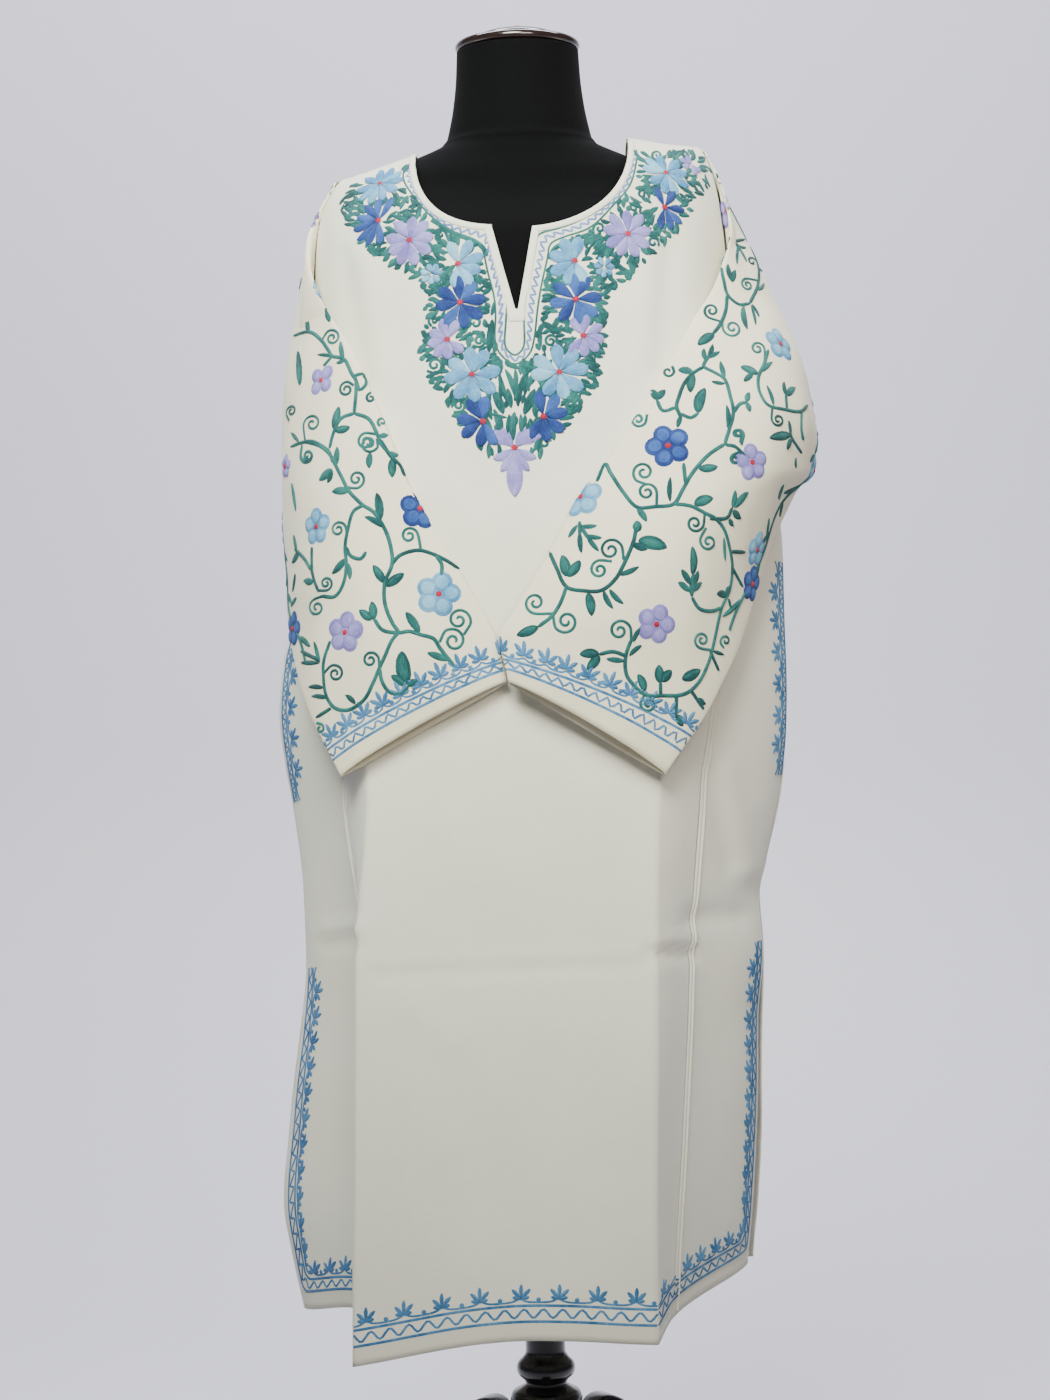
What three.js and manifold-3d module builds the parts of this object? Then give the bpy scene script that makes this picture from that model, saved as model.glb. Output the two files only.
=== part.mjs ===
// A pheran, a wide Kashmiri tunic, hanging on a limbless dress form with a turned tripod stand.
// Millimetres, +Z up. The garment faces -Y and the wearer's right is at -X. The stand's axis is the
// Z axis while the pieces are made, and the whole is then centred over its footprint.
import * as THREE from "three";
import { mergeVertices } from "three/addons/utils/BufferGeometryUtils.js";
import Module from "manifold-3d";

const wasm = await Module();
wasm.setup();

// Cloth
const BODY_WALL = 1.5;
const SLEEVE_WALL = 1.2;
const BAG_WALL = 1.0;
const BINDING_WALL = 1.1;
const SEAM_GAP = 0.3;

// How far a row's end runs on backwards, which sets the way the cloth turns there, and the rows
// above the underarm over which that direction takes over from the side seam's
const TURN = 14;
const TURN_ROWS = 0.25;

// Rows are counted from the hem (0) past the underarm (1) to the shoulder
const SHOULDER_ROW = 2;

// Heights that the cut is made from
const UNDERARM_Z = 1200;
const GORE_TOP_Z = 1212;
const SHOULDER_ROUNDING = 105;

// Armholes: an upright oval at each side, which leans in only as it nears the shoulder
const ARMHOLE = {
  left: { sign: -1, bottomX: 188, topX: 163, topZ: 1435, front: 30, back: 32 },
  right: { sign: 1, bottomX: 188, topX: 168, topZ: 1457, front: 30, back: 32 },
};
const ARMHOLE_LEAN_POWER = 7;

// Round neck with a notch at the centre front
const NECK = {
  centreX: -4,
  left: { halfWidth: 90, depth: 86, centreZ: 1458, power: 2.8 },
  right: { halfWidth: 105, depth: 90, centreZ: 1460, power: 2.3 },
  topZ: 1500,
};
const NOTCH = { leftX: -25.4, rightX: 11.6, tipX: -4.4, tipZ: 1295, tipHalfWidth: 1.5 };
const BACK_NECK_DEPTH = 20;

// The cut through the front starts at frontY and the one through the back at backY
const NECK_CUT = { frontY: 20, backY: 280, length: 300 };
const BINDING_WIDTH = 5.5;

// Hem and top heights of the lines that the front and the back are drawn through
const FRONT_LINES = {
  edgeLeft: { hem: 402, under: GORE_TOP_Z, top: ARMHOLE.left.topZ },
  creaseLeft: { hem: 370, under: 1208, top: 1438 },
  middle: { hem: 389, under: 1208, top: 1475 },
  creaseRight: { hem: 383, under: 1208, top: 1459 },
  edgeRight: { hem: 397, under: GORE_TOP_Z, top: ARMHOLE.right.topZ },
};
const BACK_LINES = {
  edgeLeft: { hem: 396, under: GORE_TOP_Z, top: ARMHOLE.left.topZ },
  creaseLeft: { hem: 378, under: 1208, top: 1438 },
  middle: { hem: 376, under: 1208, top: 1475 },
  creaseRight: { hem: 380, under: 1208, top: 1459 },
  edgeRight: { hem: 398, under: GORE_TOP_Z, top: ARMHOLE.right.topZ },
};
const SIDE_LINES = {
  left: { hem: 390, under: UNDERARM_Z, top: UNDERARM_Z },
  right: { hem: 418, under: UNDERARM_Z, top: UNDERARM_Z },
};

// Pressed creases of the front: where they stand at each height, and how sharp they are
const FRONT_CREASES = table(
  ["z", "middleY", "leftX", "leftY", "rightX", "rightY", "sharp"],
  [
    [370, -150, -169, -150, 98, -150, 1],
    [480, -150.5, -166, -150, 99, -150, 1],
    [600, -149.5, -162, -149, 102, -149, 1],
    [725, -148, -158, -147, 104, -147, 0.9],
    [870, -146, -144, -143, 110, -143, 0.75],
    [1060, -141, -143, -127, 126, -135, 0.45],
    [1208, -134, -144, -107, 142, -114, 0.25],
    [1290, -127, -148, -88, 148, -93, 0.15],
    [1370, -113, -150, -80, 148, -80, 0.1],
    [1475, -104, -150, -74, 148, -74, 0.1],
  ],
);
// Seams between the front and its gores, from the hem to the underarm
const FRONT_SEAMS = table(
  ["z", "leftX", "leftY", "rightX", "rightY"],
  [
    [370, -158, -106, 112, -108],
    [480, -155, -105, 119, -105],
    [600, -151, -104, 129, -102],
    [725, -152, -102, 137, -100],
    [870, -166, -98, 150, -102],
    [1060, -174, -66, 178, -74],
    [GORE_TOP_Z, -187.4, -13.2, 187.4, -13],
  ],
);
const BACK_CREASES = table(
  ["z", "middleY", "leftX", "leftY", "rightX", "rightY", "sharp"],
  [
    [370, 150, -152, 146, 140, 146, 0.8],
    [600, 148, -150, 144, 138, 144, 0.7],
    [870, 143, -148, 134, 138, 134, 0.5],
    [1060, 137, -148, 122, 140, 122, 0.3],
    [1208, 130, -148, 104, 144, 104, 0.2],
    [1290, 122, -150, 90, 148, 90, 0.1],
    [1370, 110, -150, 78, 148, 78, 0.1],
    [1475, 102, -150, 72, 148, 72, 0.1],
  ],
);
const BACK_SEAMS = table(
  ["z", "leftX", "leftY", "rightX", "rightY"],
  [
    [370, -176, 108, 160, 112],
    [600, -172, 106, 160, 108],
    [870, -172, 98, 168, 98],
    [1060, -182, 66, 182, 66],
    [GORE_TOP_Z, -187.4, 14.1, 187.4, 13.9],
  ],
);
// Side seams. Front and back part at the pocket mouth and at the hem slit.
const SIDES_LEFT = table(
  ["z", "frontX", "frontY", "backX", "backY"],
  [
    [370, -219, 4, -222, 34],
    [443, -232, 2, -234, 28],
    [491, -238, 0, -239, 22],
    [574, -229, 0, -230, 14],
    [650, -218, 0, -219, 7],
    [718, -212, 0, -212, 0],
    [778, -213, 0, -213, 0],
    [860, -222, 0, -222, 0],
    [895, -227, -4, -228, 4],
    [940, -231, -5, -232, 5],
    [990, -226, -5, -227, 5],
    [1025, -215, -3, -216, 3],
    [1068, -205, 0, -205, 0],
    [1120, -197, 0, -197, 0],
    [UNDERARM_Z, -188, -0.2, -188, 0.2],
  ],
);
const SIDES_RIGHT = table(
  ["z", "frontX", "frontY", "backX", "backY"],
  [
    [370, 187, 24, 196, 56],
    [419, 190, 22, 198, 52],
    [477, 195, 16, 203, 42],
    [572, 201, 8, 208, 28],
    [650, 203, 4, 208, 14],
    [718, 209, 0, 209, 0],
    [764, 207, 0, 207, 0],
    [796, 214, 0, 214, 0],
    [868, 230, 0, 230, 0],
    [920, 235, -2, 234, 4],
    [990, 236, -3, 234, 6],
    [1040, 236, -2, 235, 4],
    [1078, 236, 0, 236, 0],
    [1112, 234, 0, 234, 0],
    [1150, 218, -0.1, 218, 0.1],
    [UNDERARM_Z, 188, -0.2, 188, 0.2],
  ],
);

// Sleeves: each row is one section of the flattened tube, from its outer fold to its inner fold.
// bow is how far the section wraps outwards round the body, gap the half-thickness of the hollow.
const SLEEVE_ROWS = ["v", "innerX", "innerY", "innerZ", "outerX", "outerY", "outerZ", "bow", "gap"];
const SLEEVE_LEFT = table(SLEEVE_ROWS, [
  [0, -183, -36, 1390, -202, 34, 1330, 8, 14],
  [0.1, -184, -53, 1350, -205, 38, 1290, 17, 12],
  [0.22, -169, -85, 1298, -208, 38, 1235, 24, 9],
  [0.34, -147, -112, 1253, -212, 26, 1190, 31, 6.5],
  [0.46, -127, -129, 1202, -217, 8, 1150, 36, 5.5],
  [0.58, -102, -142, 1138, -219, -16, 1100, 39, 5],
  [0.7, -77, -148, 1093, -219, -46, 1050, 38, 5],
  [0.8, -52, -152, 1048, -214, -80, 1006, 32, 5.5],
  [0.9, -31, -155, 1008, -195, -122, 944, 20, 6.5],
  [1, -20.5, -158, 966, -168, -153, 887, 4, 7],
]);
const SLEEVE_RIGHT = table(SLEEVE_ROWS, [
  [0, 180, -36, 1400, 208, 34, 1340, 8, 16],
  [0.1, 179, -56, 1352, 226, 38, 1300, 18, 14],
  [0.22, 164, -88, 1303, 246, 38, 1255, 34, 12],
  [0.34, 139, -113, 1261, 259, 22, 1212, 46, 10],
  [0.46, 111, -133, 1215, 266, 0, 1180, 52, 9],
  [0.56, 67, -149, 1151, 264, -20, 1156, 56, 8],
  [0.64, 39, -157, 1112, 244, -46, 1134, 54, 8],
  [0.74, 11, -163, 1064, 216, -78, 1076, 46, 8],
  [0.84, -11, -168, 1030, 190, -108, 1004, 34, 8],
  [0.92, -25, -171, 1004, 161, -138, 945, 18, 7],
  [1, -17.5, -173, 965, 115, -164, 883, 4, 7],
]);
// The armhole's rim takes this much of the sleeve's length to flatten into those sections, and
// the inner fold runs up to this place on the rim, counted from its top over the front.
const SLEEVE_FLATTENING = 0.3;
const INNER_FOLD_START = Math.PI / 3;

// How far the sleeve clears the armhole's edge and the gore's top, and how far its front swings
// out round the chest
const ARMHOLE_EASE = 1.1;
const UNDERARM_EASE = 1.4;
const SLEEVE_SWING = 17;
const SWING_WAY = { x: 0.8, y: -0.6 };

// The way in which a hanging sleeve bows out, away from the chest
const BOW_WAY = { x: 0.72, y: -0.7 };

// Pocket bags: from the mouth in the side seam, folded along the inside of the front gore. Mouth
// and reach are shares of the gore's width, and the fold is a share of the bag's own.
const POCKET = {
  bottomZ: 862, topZ: 1086, mouth: 0.02, reach: 0.72, nearOffset: 1.37, farOffset: 8,
  flatShare: 0.94, foldStart: 0.42, foldWidth: 0.16,
};

// Dress form: half-width, half-depth and centre of each section, and how square it is
const FORM_SECTIONS = table(
  ["z", "halfWidth", "halfDepth", "centreY", "power"],
  [
    [792, 150, 96, 4, 2.2],
    [800, 160, 106, 4, 2.2],
    [880, 166, 112, 6, 2.2],
    [970, 152, 102, 4, 2.2],
    [1075, 122, 92, 0, 2.2],
    [1160, 136, 100, -2, 2.2],
    [1240, 152, 112, -6, 2.2],
    [1290, 158, 114, -7, 2.2],
    [1340, 162, 108, -3, 2.2],
    [1372, 164, 103, -1, 2.2],
    [1400, 160, 84, 2, 2.2],
    [1418, 149, 74, 2, 2.2],
    [1433, 136, 69, 1, 2.1],
    [1444, 115.2, 64.2, 0.6, 2.1],
    [1450, 102.5, 62.9, 0.7, 2],
    [1454, 92.5, 62.5, 1, 2],
    [1459, 81, 63, 2.5, 2],
    [1463.5, 72.5, 64, 3, 2],
    [1466, 71, 65, 3, 2],
    [1469, 68, 63, 3, 2],
    [1480, 65, 62, 3, 2],
    [1500, 61, 60, 3, 2],
    [1525, 58, 58, 3, 2],
    [1552, 56.5, 56.5, 3, 2],
  ],
);
const FORM_SIDES = 28;
const TALLEST_FORM_ROW = 60;
const NECK_AXIS = { x: 2, y: 3 };
const NECK_LEAN = { fromZ: 1400, height: 80 };

// Neck cap: a turned lid with a rounded rim and a low stepped dome
const CAP_PROFILE = [
  [0, 1552.4], [54, 1552.4], [57.5, 1554.5], [58, 1557.5], [55.5, 1560.5],
  [40, 1563.5], [37, 1566.5], [30, 1569.5], [16, 1572], [0, 1572.6],
];
const CAP_PIN_PROFILE = [[0, 1572.9], [3.2, 1572.9], [3.2, 1575], [2, 1577], [0, 1577.6]];

// Stand: pole, bulbs and hub, from the hub's underside up to the torso
const POLE_PROFILE = [
  [0, 206], [17, 206], [22, 211], [24, 218], [34, 224], [36, 240], [36, 282], [33, 290],
  [31, 296], [33.5, 302], [31, 309], [24, 313], [19.2, 316.5], [21, 320], [26, 325], [27.3, 330],
  [26, 335.5], [21, 341], [18.5, 346], [18.5, 791.7], [0, 791.7],
];
const POLE_SIDES = 24;

// Legs: a board cut to this outline (distance from the axis, height), with rounded edges
const LEG_OUTLINE = [
  [36.35, 232], [36.35, 276], [44, 290], [54, 297], [66, 297], [82, 288], [104, 262], [128, 212],
  [150, 152], [176, 98], [206, 58], [232, 36], [250, 24], [256, 12], [252, 0], [226, 0],
  [218, 12], [196, 26], [168, 48], [140, 88], [116, 140], [96, 190], [80, 216], [62, 230],
];
const LEG_WIDTH = 30;
const LEG_BEVEL = 5;
const LEG_ANGLES = { leg_front: -90, leg_back_left: 150, leg_back_right: 30 };

const MATERIALS = {
  cloth: { color: 0xded9cc, roughness: 0.9, metalness: 0 },
  binding: { color: 0xe6e0d2, roughness: 0.9, metalness: 0 },
  jersey: { color: 0x15171a, roughness: 0.85, metalness: 0 },
  cap: { color: 0x1a1518, roughness: 0.2, metalness: 0 },
  brass: { color: 0xb08d4a, roughness: 0.35, metalness: 1 },
  stand: { color: 0x0d0b0b, roughness: 0.25, metalness: 0 },
};

// ---------------------------------------------------------------- numbers and curves

function table(columns, rows) {
  return rows.map((row) => Object.fromEntries(columns.map((name, i) => [name, row[i]])));
}

const lerp = (a, b, t) => a + (b - a) * t;
const clamp = (x, low, high) => Math.min(Math.max(x, low), high);
const smoothstep = (t) => t * t * (3 - 2 * t);
const even = (count, from = 0, to = 1) =>
  Array.from({ length: count + 1 }, (_, i) => lerp(from, to, i / count));

// Slope of a column at a row, limited so that the curve never overshoots its rows
function slopeAt(rows, key, column, i) {
  const secant = (k) => (rows[k + 1][column] - rows[k][column]) / (rows[k + 1][key] - rows[k][key]);
  if (i === 0) return secant(0);
  if (i === rows.length - 1) return secant(i - 1);
  const before = secant(i - 1);
  const after = secant(i);
  return before * after <= 0 ? 0 : (2 * before * after) / (before + after);
}

// Value of one column between the rows of a table
function read(rows, key, column, x) {
  const last = rows.length - 1;
  if (x <= rows[0][key]) return rows[0][column];
  if (x >= rows[last][key]) return rows[last][column];
  const i = rows.findIndex((row) => row[key] > x) - 1;
  const span = rows[i + 1][key] - rows[i][key];
  const t = (x - rows[i][key]) / span;
  const rise = smoothstep(t);
  return (
    rows[i][column] * (1 - rise) +
    rows[i + 1][column] * rise +
    span * t * (1 - t) * (1 - t) * slopeAt(rows, key, column, i) -
    span * t * t * (1 - t) * slopeAt(rows, key, column, i + 1)
  );
}

// Smooth curve through knots; a knot with sharp = 1 is a corner
function through(knots, sharp, u) {
  const i = clamp(Math.floor(u), 0, knots.length - 2);
  const chords = knots.slice(1).map((knot, k) => knot.clone().sub(knots[k]));
  const chord = chords[i];
  const size = chord.length();
  const direction = (k) => {
    const own = chord.clone().normalize();
    const other = chords[k === i ? i - 1 : i + 1];
    if (!other) return own;
    const mean = own.clone().add(other.clone().normalize()).normalize();
    return mean.lerp(own, sharp[k]).normalize();
  };
  const t = u - i;
  const rise = smoothstep(t);
  return knots[i].clone().multiplyScalar(1 - rise)
    .addScaledVector(knots[i + 1], rise)
    .addScaledVector(direction(i), size * t * (1 - t) * (1 - t))
    .addScaledVector(direction(i + 1), -size * t * t * (1 - t));
}

// ---------------------------------------------------------------- the garment's surfaces

// Rows run from the hem (0) past the underarm (1) to the shoulder (2)
function heightOn(line, row) {
  if (row <= 1) return lerp(line.hem, line.under, row);
  return lerp(line.under, line.top, Math.sin(((row - 1) * Math.PI) / 2));
}

// The cloth rounds over the shoulder: full depth below, none on the shoulder line
function shoulderRounding(line, z) {
  const rise = clamp((z - line.top + SHOULDER_ROUNDING) / SHOULDER_ROUNDING, 0, 1);
  return Math.sqrt(1 - rise * rise);
}

function armholePoint(side, z, isFront) {
  const { sign, bottomX, topX, topZ, front, back } = ARMHOLE[side];
  const share = clamp((z - UNDERARM_Z) / (topZ - UNDERARM_Z), 0, 1);
  const rise = Math.sqrt(Math.max(0, 1 - (2 * share - 1) ** 2));
  const depth = isFront ? -front : back;
  const x = lerp(bottomX, topX, share ** ARMHOLE_LEAN_POWER);
  return new THREE.Vector3(sign * x, depth * rise, z);
}

function seamPoint(side, row, isFront) {
  const line = (isFront ? FRONT_LINES : BACK_LINES)[side === "left" ? "edgeLeft" : "edgeRight"];
  const z = heightOn(line, row);
  if (row >= 1) return armholePoint(side, z, isFront);
  const seams = isFront ? FRONT_SEAMS : BACK_SEAMS;
  return new THREE.Vector3(
    read(seams, "z", side + "X", z),
    read(seams, "z", side + "Y", z),
    z,
  );
}

function creasePoint(side, row, isFront) {
  const line = (isFront ? FRONT_LINES : BACK_LINES)[side === "left" ? "creaseLeft" : "creaseRight"];
  const creases = isFront ? FRONT_CREASES : BACK_CREASES;
  const z = heightOn(line, row);
  return new THREE.Vector3(
    read(creases, "z", side + "X", z),
    read(creases, "z", side + "Y", z) * shoulderRounding(line, z),
    z,
  );
}

function middlePoint(row, isFront) {
  const line = (isFront ? FRONT_LINES : BACK_LINES).middle;
  const creases = isFront ? FRONT_CREASES : BACK_CREASES;
  const z = heightOn(line, row);
  const left = creasePoint("left", row, isFront);
  const right = creasePoint("right", row, isFront);
  const y = read(creases, "z", "middleY", z) * shoulderRounding(line, z);
  return new THREE.Vector3((left.x + right.x) / 2, y, z);
}

function sidePoint(side, row, isFront) {
  const z = heightOn(SIDE_LINES[side], row);
  const rows = side === "left" ? SIDES_LEFT : SIDES_RIGHT;
  const face = isFront ? "front" : "back";
  return new THREE.Vector3(read(rows, "z", face + "X", z), read(rows, "z", face + "Y", z), z);
}

// Below the underarm a row ends in the side seams; above it, the armhole edge just turns backwards
function rowEnd(side, row, isFront) {
  if (row <= 1) return sidePoint(side, row, isFront);
  const turn = sidePoint(side, 1, isFront).sub(seamPoint(side, 1, isFront));
  turn.lerp(new THREE.Vector3(0, isFront ? TURN : -TURN, 0), clamp((row - 1) / TURN_ROWS, 0, 1));
  return seamPoint(side, row, isFront).add(turn);
}

// One row of the front or the back. Whole numbers of u are its lines, from the wearer's right to
// the left: side seam 1, gore seam 2, crease 3, middle 4, crease 5, gore seam 6, side seam 7.
function garmentRow(u, row, isFront) {
  const creases = isFront ? FRONT_CREASES : BACK_CREASES;
  const middle = middlePoint(row, isFront);
  const crease = read(creases, "z", "sharp", middle.z);
  const beyond = new THREE.Vector3(0, isFront ? 2 * TURN : -2 * TURN, 0);
  const left = rowEnd("left", row, isFront);
  const right = rowEnd("right", row, isFront);
  const knots = [
    left.clone().add(beyond),
    left,
    seamPoint("left", row, isFront),
    creasePoint("left", row, isFront),
    middle,
    creasePoint("right", row, isFront),
    seamPoint("right", row, isFront),
    right,
    right.clone().add(beyond),
  ];
  return through(knots, [0, 0, 0, crease, 0, crease, 0, 0, 0], u);
}

// One point of a sleeve: around runs once round the armhole, from its top over the front
function sleeveSurface(side, around, v) {
  const rows = side === "left" ? SLEEVE_LEFT : SLEEVE_RIGHT;
  const { sign, topZ, front, back } = ARMHOLE[side];
  const angle = around * 2 * Math.PI;
  const column = (name) => read(rows, "v", name, v);
  const inner = new THREE.Vector3(column("innerX"), column("innerY"), column("innerZ"));
  const outer = new THREE.Vector3(column("outerX"), column("outerY"), column("outerZ"));
  const across = inner.clone().sub(outer);
  const outward = new THREE.Vector3(sign * BOW_WAY.x, BOW_WAY.y, 0);
  outward.addScaledVector(across, -outward.dot(across) / across.lengthSq()).normalize();
  const foldAngle = angle + Math.PI - INNER_FOLD_START;
  const s = (1 - Math.cos(foldAngle)) / 2;
  const lift = 4 * s * (1 - s) * column("bow") + column("gap") * Math.sin(foldAngle);
  const flat = outer.clone().addScaledVector(across, s).addScaledVector(outward, lift);
  const share = smoothstep(clamp(v / SLEEVE_FLATTENING, 0, 1));
  if (share === 1) return flat;
  const low = (1 - Math.cos(angle)) / 2;
  const ring = armholePoint(side, lerp(topZ, UNDERARM_Z, low), true);
  ring.y = -Math.sin(angle) * (Math.sin(angle) > 0 ? front : back);
  ring.x += sign * (BODY_WALL + ARMHOLE_EASE + UNDERARM_EASE * low);
  const swing = SLEEVE_SWING * Math.max(0, Math.sin(angle)) * 4 * share * (1 - share);
  const outwards = new THREE.Vector3(sign * SWING_WAY.x * swing, SWING_WAY.y * swing, 0);
  return ring.lerp(flat, share).add(outwards);
}

// ---------------------------------------------------------------- walls

function surfaceFrame(surface, u, v) {
  const step = 1e-3;
  const alongU = surface(u + step, v).sub(surface(u - step, v)).normalize();
  const above = surface(u, Math.min(v + step, SHOULDER_ROW));
  const alongV = above.sub(surface(u, Math.max(v - step, 0))).normalize();
  return { normal: alongU.clone().cross(alongV).normalize(), alongU, alongV };
}

function geometryOf(points, faces) {
  const geometry = new THREE.BufferGeometry();
  const numbers = points.flatMap((point) => point.toArray());
  geometry.setAttribute("position", new THREE.Float32BufferAttribute(numbers, 3));
  geometry.setIndex(faces.flat());
  return geometry;
}

const quad = (a, b, c, d) => [a, b, c, a, c, d];

// A wall over a surface: its inner face at offset `from` and its outer face at offset `to`
function wall(surface, us, vs, from, to) {
  const points = [];
  const columns = us.length;
  const lastU = columns - 1;
  const lastV = vs.length - 1;
  vs.forEach((v) => us.forEach((u, i) => {
    const { normal, alongU, alongV } = surfaceFrame(surface, u, v);
    const inset = i === 0 ? SEAM_GAP / 2 : i === lastU ? -SEAM_GAP / 2 : 0;
    const point = surface(u, v).addScaledVector(alongU, inset);
    if (v === SHOULDER_ROW) point.addScaledVector(alongV, -SEAM_GAP / 2);
    points.push(point.clone().addScaledVector(normal, from), point.addScaledVector(normal, to));
  }));
  const inner = (i, j) => 2 * (j * columns + i);
  const outer = (i, j) => inner(i, j) + 1;
  const faces = [];
  for (let j = 0; j < lastV; j++) {
    for (let i = 0; i < lastU; i++) {
      faces.push(quad(outer(i, j), outer(i + 1, j), outer(i + 1, j + 1), outer(i, j + 1)));
      faces.push(quad(inner(i, j), inner(i, j + 1), inner(i + 1, j + 1), inner(i + 1, j)));
    }
    faces.push(quad(outer(0, j), outer(0, j + 1), inner(0, j + 1), inner(0, j)));
    faces.push(quad(outer(lastU, j), inner(lastU, j), inner(lastU, j + 1), outer(lastU, j + 1)));
  }
  for (let i = 0; i < lastU; i++) {
    faces.push(quad(outer(i, 0), inner(i, 0), inner(i + 1, 0), outer(i + 1, 0)));
    faces.push(quad(outer(i, lastV), outer(i + 1, lastV), inner(i + 1, lastV), inner(i, lastV)));
  }
  return geometryOf(points, faces);
}

// A tube with a wall, open at both ends
function tube(surface, sides, vs, thickness) {
  const points = [];
  vs.forEach((v) => {
    for (let i = 0; i < sides; i++) {
      const { normal } = surfaceFrame(surface, i / sides, v);
      const point = surface(i / sides, v);
      points.push(point.clone(), point.addScaledVector(normal, thickness));
    }
  });
  const inner = (i, j) => 2 * (j * sides + (i % sides));
  const outer = (i, j) => inner(i, j) + 1;
  const lastV = vs.length - 1;
  const faces = [];
  for (let i = 0; i < sides; i++) {
    for (let j = 0; j < lastV; j++) {
      faces.push(quad(outer(i, j), outer(i + 1, j), outer(i + 1, j + 1), outer(i, j + 1)));
      faces.push(quad(inner(i, j), inner(i, j + 1), inner(i + 1, j + 1), inner(i + 1, j)));
    }
    faces.push(quad(outer(i, 0), inner(i, 0), inner(i + 1, 0), outer(i + 1, 0)));
    faces.push(quad(outer(i, lastV), outer(i + 1, lastV), inner(i + 1, lastV), inner(i, lastV)));
  }
  return geometryOf(points, faces);
}

// ---------------------------------------------------------------- cutting

function solidOf(geometry) {
  const bare = new THREE.BufferGeometry();
  bare.setAttribute("position", geometry.attributes.position.clone());
  if (geometry.index) bare.setIndex(geometry.index.clone());
  const merged = mergeVertices(bare, 1e-4);
  return new wasm.Manifold(new wasm.Mesh({
    numProp: 3,
    vertProperties: new Float32Array(merged.attributes.position.array),
    triVerts: new Uint32Array(merged.index.array),
  }));
}

function geometryFrom(solid) {
  const mesh = solid.getMesh();
  const geometry = new THREE.BufferGeometry();
  geometry.setAttribute("position", new THREE.BufferAttribute(new Float32Array(mesh.vertProperties), 3));
  geometry.setIndex(new THREE.BufferAttribute(new Uint32Array(mesh.triVerts), 1));
  return geometry;
}

// Half of the neck's curve, from the shoulder down to the notch
function neckArc(side, grow, depth) {
  const { halfWidth, centreZ, power } = NECK[side];
  const sign = side === "left" ? -1 : 1;
  const stop = (side === "left" ? NOTCH.leftX : NOTCH.rightX) - NECK.centreX;
  const reach = halfWidth + grow;
  const lastAngle = Math.acos(Math.min(1, (Math.abs(stop) / reach) ** (power / 2)));
  return even(14, 0, lastAngle).map((angle) => [
    NECK.centreX + sign * reach * Math.cos(angle) ** (2 / power),
    centreZ - (depth + grow) * Math.sin(angle) ** (2 / power),
  ]);
}

function frontNeckOutline(grow) {
  const left = neckArc("left", grow, NECK.left.depth);
  const right = neckArc("right", grow, NECK.right.depth).reverse();
  left[left.length - 1][0] = NOTCH.leftX - grow;
  right[0][0] = NOTCH.rightX + grow;
  const tip = NOTCH.tipHalfWidth + grow;
  const tipZ = NOTCH.tipZ - 2 * grow;
  return [
    [left[0][0], NECK.topZ],
    ...left,
    [NOTCH.tipX - tip, tipZ],
    [NOTCH.tipX + tip, tipZ],
    ...right,
    [right[right.length - 1][0], NECK.topZ],
  ];
}

function backNeckOutline(grow) {
  const left = neckArc("left", grow, BACK_NECK_DEPTH);
  const right = neckArc("right", grow, BACK_NECK_DEPTH).reverse();
  return [[left[0][0], NECK.topZ], ...left, ...right, [right[right.length - 1][0], NECK.topZ]];
}

// A prism of this outline (X, Z), long enough to pass through the front or the back
function prism(outline, fromY) {
  const shape = new THREE.Shape(outline.map(([x, z]) => new THREE.Vector2(x, z)));
  const geometry = new THREE.ExtrudeGeometry(shape, { depth: NECK_CUT.length, bevelEnabled: false });
  geometry.rotateX(Math.PI / 2);
  geometry.translate(0, fromY, 0);
  return solidOf(geometry);
}

// ---------------------------------------------------------------- pieces

const frontColumns = [...even(4, 2, 3), ...even(12, 3, 5).slice(1, -1), ...even(4, 5, 6)];
const backColumns = even(12, 2, 6);
const goreRows = even(13);
const panelRows = [...goreRows, ...even(9, 1, 2).slice(1)];
const frontSurface = (u, row) => garmentRow(u, row, true);
const backSurface = (u, row) => garmentRow(8 - u, row, false);

function frontPanel() {
  const uncut = solidOf(wall(frontSurface, frontColumns, panelRows, 0, BODY_WALL));
  return geometryFrom(uncut.subtract(prism(frontNeckOutline(0), NECK_CUT.frontY)));
}

function backPanel() {
  const uncut = solidOf(wall(backSurface, backColumns, panelRows, 0, BODY_WALL));
  return geometryFrom(uncut.subtract(prism(backNeckOutline(0), NECK_CUT.backY)));
}

function neckBinding(surface, columns, outline, fromY) {
  const low = BODY_WALL + SEAM_GAP;
  const strip = solidOf(wall(surface, columns, panelRows, low, low + BINDING_WALL));
  const kept = strip.intersect(prism(outline(BINDING_WIDTH), fromY));
  return geometryFrom(kept.subtract(prism(outline(0), fromY)));
}

function gore(side, isFront) {
  const surface = isFront ? frontSurface : backSurface;
  const first = (side === "left") === isFront ? 1 : 6;
  return wall(surface, even(6, first, first + 1), goreRows, 0, BODY_WALL);
}

function sleeve(side) {
  const turn = side === "left" ? (a) => 1 - a : (a) => a;
  const surface = (a, v) => sleeveSurface(side, turn(a), v);
  return tube(surface, 20, even(16), SLEEVE_WALL);
}

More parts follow.
